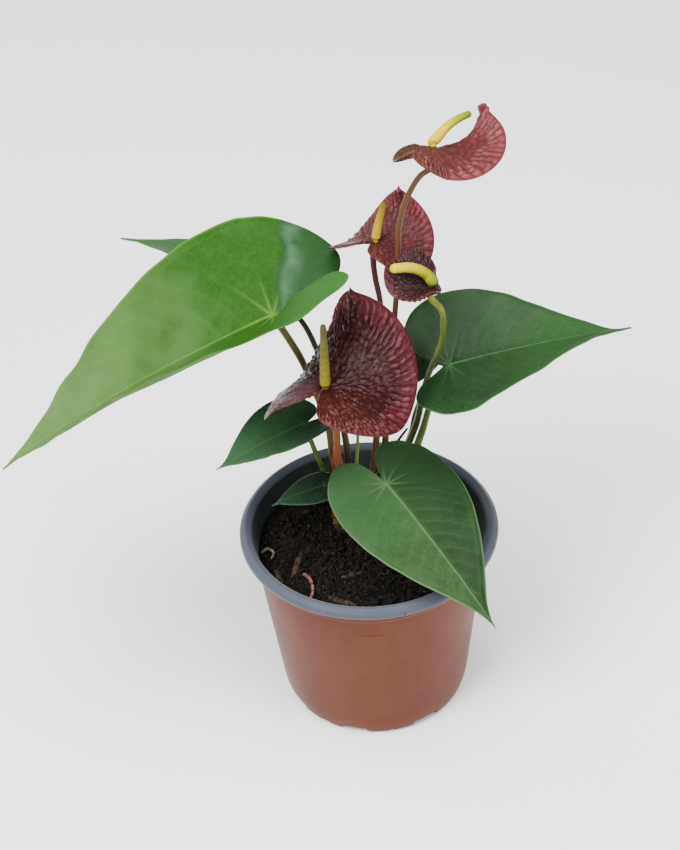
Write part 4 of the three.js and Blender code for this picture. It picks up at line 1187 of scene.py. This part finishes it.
def make_fibres(name, count, lengths, radii, material, seed):
    random = np.random.default_rng(seed)
    points, faces = np.empty((0, 3)), []
    for place in scatter(random, count, MIX_REACH - 3.5):
        if on_crown(*place, -3):
            continue
        heading = random.uniform(0, 2 * math.pi)
        turn = random.normal(0, 0.3)
        step = random.uniform(*lengths) / FIBRE_BENDS
        path = [place]
        for _ in range(FIBRE_BENDS):
            heading += turn / 3 + random.normal(0, 0.14)
            path.append(path[-1] + step * np.array([math.cos(heading), math.sin(heading)]))
        path = np.array(path)
        if np.linalg.norm(path, axis=1).max() > MIX_REACH:
            continue
        height = soil_height(*path.T) + np.abs(random.normal(0, 0.6, FIBRE_BENDS + 1)) + 0.2
        line, tangents, _ = centripetal(np.column_stack([path, height]), 14)
        thick = random.uniform(*radii) * np.linspace(1, 0.55, 14)
        thick[[0, -1]] *= 0.4
        fibre, fibre_faces, _, _ = tube(line, tangents, thick, 6)
        faces += shifted(fibre_faces, len(points))
        points = np.vstack([points, fibre])
    make_piece(name, points, faces, "potting_mix", material)


def make_chip(number, chip, material, seed):
    """A splinter of bark: a rounded slab with ridges along its length."""
    at, turn, size = chip
    length, width, height = np.array(size) * CHIP_SHAPE
    rows, columns = 60, 44
    along = np.linspace(-1, 1, rows)
    torn = 0.16 * waves(along[:, None] * length, 2.5, seed + 2)
    profile = (np.maximum(1 - np.abs(along) ** 2.2, 0) ** 0.6 * (1 + torn))[:, None]
    power = lambda value, exponent: np.sign(value) * np.abs(value) ** exponent
    angles = circle(columns)
    points = np.stack([
        np.repeat(along[:, None] * length / 2, columns, 1),
        power(np.cos(angles), 0.7) * profile * width / 2,
        power(np.sin(angles), 0.6) * profile * height / 2], 2).reshape(-1, 3)
    ridges = waves(points * np.array([0.18, 1, 1]), 1.1, seed)
    outward = unit(points * np.array([0.1, 1 / width ** 2, 1 / height ** 2]))
    points = points + outward * (0.13 * ridges + 0.2 * waves(points, 4, seed + 1))[:, None]
    points[:, 1] += 0.5 * np.sin(points[:, 0] / length * 4 + seed)
    points[:, :2] = points[:, :2] @ rotation(math.radians(turn)).T + np.array(at)
    ground = soil_height(*points[:, :2].T).mean()
    points[:, 2] += ground + 0.32 * height
    caps = [tuple(reversed(range(columns))), tuple(range(len(points) - columns, len(points)))]
    look(
        f"bark_chip_{number}", points, shell(rows, columns, False, False) + caps, "bark",
        material)


def make_surface_root(number, root, material, seed):
    thick, flat = root
    flat = np.array(flat, float)
    height = soil_height(*flat.T) + thick * np.array([0.9, 1.9, 1.6, 0.7])
    line, tangents, length = centripetal(np.column_stack([flat, height]), 60)
    share = np.linspace(0, 1, 60)
    radii = 0.7 * thick * (1 - 0.35 * share) * (
        1 + 0.14 * waves(share[:, None] * length, 3, seed))
    rounding = np.array([0.35, 0.75, 0.95])
    radii[:3] *= rounding
    radii[-3:] *= rounding[::-1]
    points, faces, _, _ = tube(line, tangents, radii, 16)
    look(f"surface_root_{number}", points, faces, "root", material)


def make_ground():
    make_mix()
    make_crown()
    bark = wood_material("bark", "100b08 4a3a2c", 520)
    crumb = wood_material("crumb", "050403 1a140f", 700)
    twig = wood_material("fibre", "18130f 564a3c", 900)
    make_crumbs("mix_crumbs", 2400, (0.7, 3.2), crumb, SEED + 420)
    make_crumbs("mix_bark_bits", 330, (0.5, 1.7), bark, SEED + 421)
    make_fibres("mix_fibres", 420, (2.5, 8), (0.06, 0.17), twig, SEED + 422)
    make_fibres("mix_dark_fibres", 200, (4, 12), (0.15, 0.4), crumb, SEED + 423)
    for number, chip in enumerate(CHIPS, 1):
        make_chip(number, chip, bark, SEED + 430 + 3 * number)
    looks = ("root_pale", "463a2e 847664"), ("root_pink", "3e2020 98645e")
    for number, (root, look_of) in enumerate(zip(SURFACE_ROOTS, looks), 1):
        make_surface_root(number, root, wood_material(*look_of, 600), SEED + 460 + number)


make_ground()


# ------------------------------------------------------------------ the pot

def plastic(name, palette, gloss, sheen):
    s = Shader(name)
    base, shade, light = colours(palette)
    place = s.place()
    cloudy = s.noise(place, 22, 3)
    grain = s.noise(place, 1900, 3, 0.6)
    drawn = s.noise(s.stretched(place, (1.0, 1.0, 0.05)), 330, 3)
    colour = s.layers(
        base, (shade, s.ramp(cloudy, 0.35, 0.65)), (light, s.ramp(drawn, 0.5, 0.8, 0.0, 0.1)),
        (light, s.ramp(s.noise(place, 700, 5, 0.75), 0.62, 0.78), 0.2))
    height = s.plus(s.times(grain, 0.5), s.times(drawn, 0.5))
    return s.finish(
        colour, s.ramp(cloudy, 0.3, 0.7, gloss - 0.05, gloss + 0.08), SHINE.plastic,
        s.bump(height, 0.00012, 0.6), Sheen_Weight=sheen, Sheen_Roughness=0.35)


def rounded(corners, steps=5):
    """A profile of (radius, height, rounding) corners with each corner rounded."""
    points = np.array([corner[:2] for corner in corners], float)
    result = [points[0]]
    for index in range(1, len(corners) - 1):
        before, corner, after = points[index - 1:index + 2]
        back, ahead = before - corner, after - corner
        reach = min(corners[index][2], 0.45 * np.linalg.norm(back), 0.45 * np.linalg.norm(ahead))
        start, end = corner + unit(back) * reach, corner + unit(ahead) * reach
        for share in np.linspace(0, 1, steps):
            result.append(
                (1 - share) ** 2 * start + 2 * share * (1 - share) * corner + share ** 2 * end)
    return np.array([*result, points[-1]])


def pot_profile():
    """The pot's section, from the middle of its underside up, over the rim and down inside."""
    lip, stack = POT.height - POT.rim_depth, POT.height - POT.stack_line
    wall = wall_radius(stack)
    below = wall - POT.stack_step, stack - 0.8
    mark = [
        (np.interp(at, (POT.corner_height, below[1]), (POT.base_radius, below[0])), at, 0.15)
        for at in MARK.height + MARK.half_height * np.array([-1, 0, 1])]
    return rounded([
        (0, 0, 0), (POT.foot_radius, 0, 0.7), (POT.foot_radius + 1.6, 1.6, 1.2),
        (POT.base_radius, POT.corner_height, 2.5), *mark, (*below, 0.3), (wall, stack, 0.35),
        (POT.shoulder_radius, lip - 1.5, 1.0), (POT.rim_radius - 1, lip, 0.5),
        (POT.rim_radius, lip + 1, 0.8), (POT.rim_radius, POT.height - 2.2, 1.2),
        (POT.rim_radius - 2, POT.height - 0.5, 0.9), (POT.rim_radius - 3, POT.height, 0.8),
        (POT.mouth_radius + 1, POT.height - 1, 0.9), (POT.mouth_radius, POT.height - 2.2, 0.8),
        (below[0] - POT.wall, below[1], 0.6),
        (POT.base_radius - POT.wall, POT.corner_height, 2.2),
        (POT.foot_radius - 1, POT.floor, 1.2), (0, POT.floor, 0)])


def make_pot():
    """The pot, a little out of round, with a moulding mark, drain holes, slots and a nick."""
    sectors = 192
    angles = circle(sectors)
    rings = pot_profile()[1:-1]
    heights = rings[:, 1:]
    radii = rings[:, :1] + np.clip(heights / POT.height, 0, 1) ** 2 * POT.out_of_round * np.cos(
        2 * angles + 0.6)
    from_mark = (angles - MARK.angle + math.pi) % (2 * math.pi) - math.pi
    spread = 1 - smooth(np.abs(from_mark), 0.7 * MARK.reach, MARK.reach)
    outside = np.arange(len(rings))[:, None] < heights.argmax()
    radii = radii + MARK.rise * bell(heights - MARK.height, 0.3) * outside * spread
    points = np.stack([
        radii * np.cos(angles), radii * np.sin(angles), np.repeat(heights, sectors, 1)], 2)
    points = np.vstack([[[0, 0, 0]], points.reshape(-1, 3), [[0, 0, POT.floor]]])
    pot = add_mesh("nursery_pot_look", points, shell(len(rings), sectors))
    cutter = make_cutter()
    boolean = pot.modifiers.new("holes", "BOOLEAN")
    boolean.object, boolean.operation, boolean.solver = cutter, "DIFFERENCE", "EXACT"
    bpy.context.view_layer.update()
    evaluated = pot.evaluated_get(bpy.context.evaluated_depsgraph_get())
    pot.data = bpy.data.meshes.new_from_object(evaluated)
    pot.modifiers.clear()
    bpy.data.objects.remove(cutter)
    finish_piece(pot, [
        plastic("terracotta", "582918 522616 703c28", 0.46, 0.1),
        plastic("rim_grey", "464a54 40444e 5c6068", 0.4, 0.25),
        plastic("inner_black", "343d3a 262d2b 68706a", 0.42, 0.1),
    ], "nursery_pot")
    pot.data.set_sharp_from_angle(angle=POT.sharp_angle)
    rim_grey, inner_black = 1, 2
    for polygon in pot.data.polygons:
        x, y, z = polygon.center / MM
        radius = math.hypot(x, y)
        inward = polygon.normal.x * x + polygon.normal.y * y < 0
        if z > POT.height - POT.rim_depth - 0.3 and radius > POT.mouth_radius - 0.6 and (
                z > POT.height - 2.6 or not inward):
            polygon.material_index = rim_grey
        elif z > POT.floor - 0.2 and (inward or radius < POT.foot_radius - 2):
            polygon.material_index = inner_black


def add_prism(points, faces, ends):
    """Adds a prism between two outlines."""
    start, count = len(points), len(ends[0])
    points += [*ends[0], *ends[1]]
    faces.append(tuple(reversed(range(start, start + count))))
    faces.append(tuple(range(start + count, start + 2 * count)))
    for corner in range(count):
        a, b = start + corner, start + (corner + 1) % count
        faces.append((a, b, b + count, a + count))


def along_radius(angle, radii, outline):
    """The ends of a prism that lies along a radius. `outline` has (across, height) corners."""
    out = np.array([math.cos(angle), math.sin(angle), 0])
    aside = np.array([-out[1], out[0], 0])
    return [[out * radius + aside * across + np.array([0, 0, height])
             for across, height in outline] for radius in radii]


def make_cutter():
    """The drain holes, the slots and tears round the bottom corner and the rim's nick."""
    random = np.random.default_rng(SEED + 500)
    points, faces = [], []
    for angle in circle(POT.drain_holes):
        x, y = POT.drain_circle * math.cos(angle), POT.drain_circle * math.sin(angle)
        add_prism(points, faces, [
            [(x + POT.drain_radius * math.cos(turn), y + POT.drain_radius * math.sin(turn), z)
             for turn in circle(40)] for z in (-4, 4)])
    for number in range(2 * POT.slots):
        angle = (number / 2 + POT.slot_start) / POT.slots * 2 * math.pi
        angle += random.uniform(-0.03, 0.03)
        torn = number % 2
        wide = random.uniform(1.6, 3.0) if torn else random.uniform(6.5, 8.5)
        tall = random.uniform(1.8, 3.0) if torn else random.uniform(3.8, 4.8)
        arch = [(-wide, -3), (wide, -3), (wide, 0.5 * tall), (0.86 * wide, 0.95 * tall),
                (0.2 * wide, tall), (-0.8 * wide, 0.92 * tall), (-wide, 0.5 * tall)]
        radii = POT.slot_radius - 5.5, POT.slot_radius + 5
        add_prism(points, faces, along_radius(angle, radii, arch))
    half = NICK.width / 2
    nick = [(-half, NICK.low), (half, NICK.low), (half, NICK.high), (-half, NICK.high)]
    radii = POT.rim_radius - NICK.depth, POT.rim_radius + 2
    add_prism(points, faces, along_radius(NICK.angle, radii, nick))
    return add_mesh("cutter", points, faces)


make_pot()


# ------------------------------------------------------------------ floor and light

def make_floor():
    side = 4000
    corners = [(-side, -side, 0), (side, -side, 0), (side, side, 0), (-side, side, 0)]
    floor = add_mesh("floor", corners, [(0, 1, 2, 3)])
    s = Shader("floor")
    colour = s.mix(s.noise(s.place(), 6, 2), (0.93, 0.93, 0.925, 1), (0.91, 0.91, 0.905, 1))
    floor.data.materials.append(s.finish(colour, 0.85, SHINE.floor))


def make_light(name, place, size, power):
    """A round lamp, placed in metres, that shines on the middle of the plant."""
    data = bpy.data.lights.new(name, "AREA")
    data.shape, data.size, data.energy = "DISK", size, power
    back = unit(np.array(place) - np.array([0, 0, 0.15]))
    right = unit(np.cross([0, 0, 1.0], back))
    link(bpy.data.objects.new(name, data), right, np.cross(back, right), back, place)


def make_lighting():
    world = bpy.data.worlds.new("world")
    world.use_nodes = True
    background = world.node_tree.nodes["Background"]
    background.inputs["Color"].default_value = (0.93, 0.96, 1.0, 1)
    background.inputs["Strength"].default_value = 0.5
    bpy.context.scene.world = world
    make_light("key", (-0.9, -0.9, 1.6), 1.0, 64)
    make_light("top", (0.1, -0.25, 1.9), 1.3, 50)
    make_light("fill", (1.2, -0.9, 1.0), 1.2, 26)
    make_light("sheen", (-1.15, 1.2, 0.95), 0.9, 8)


make_floor()
make_lighting()
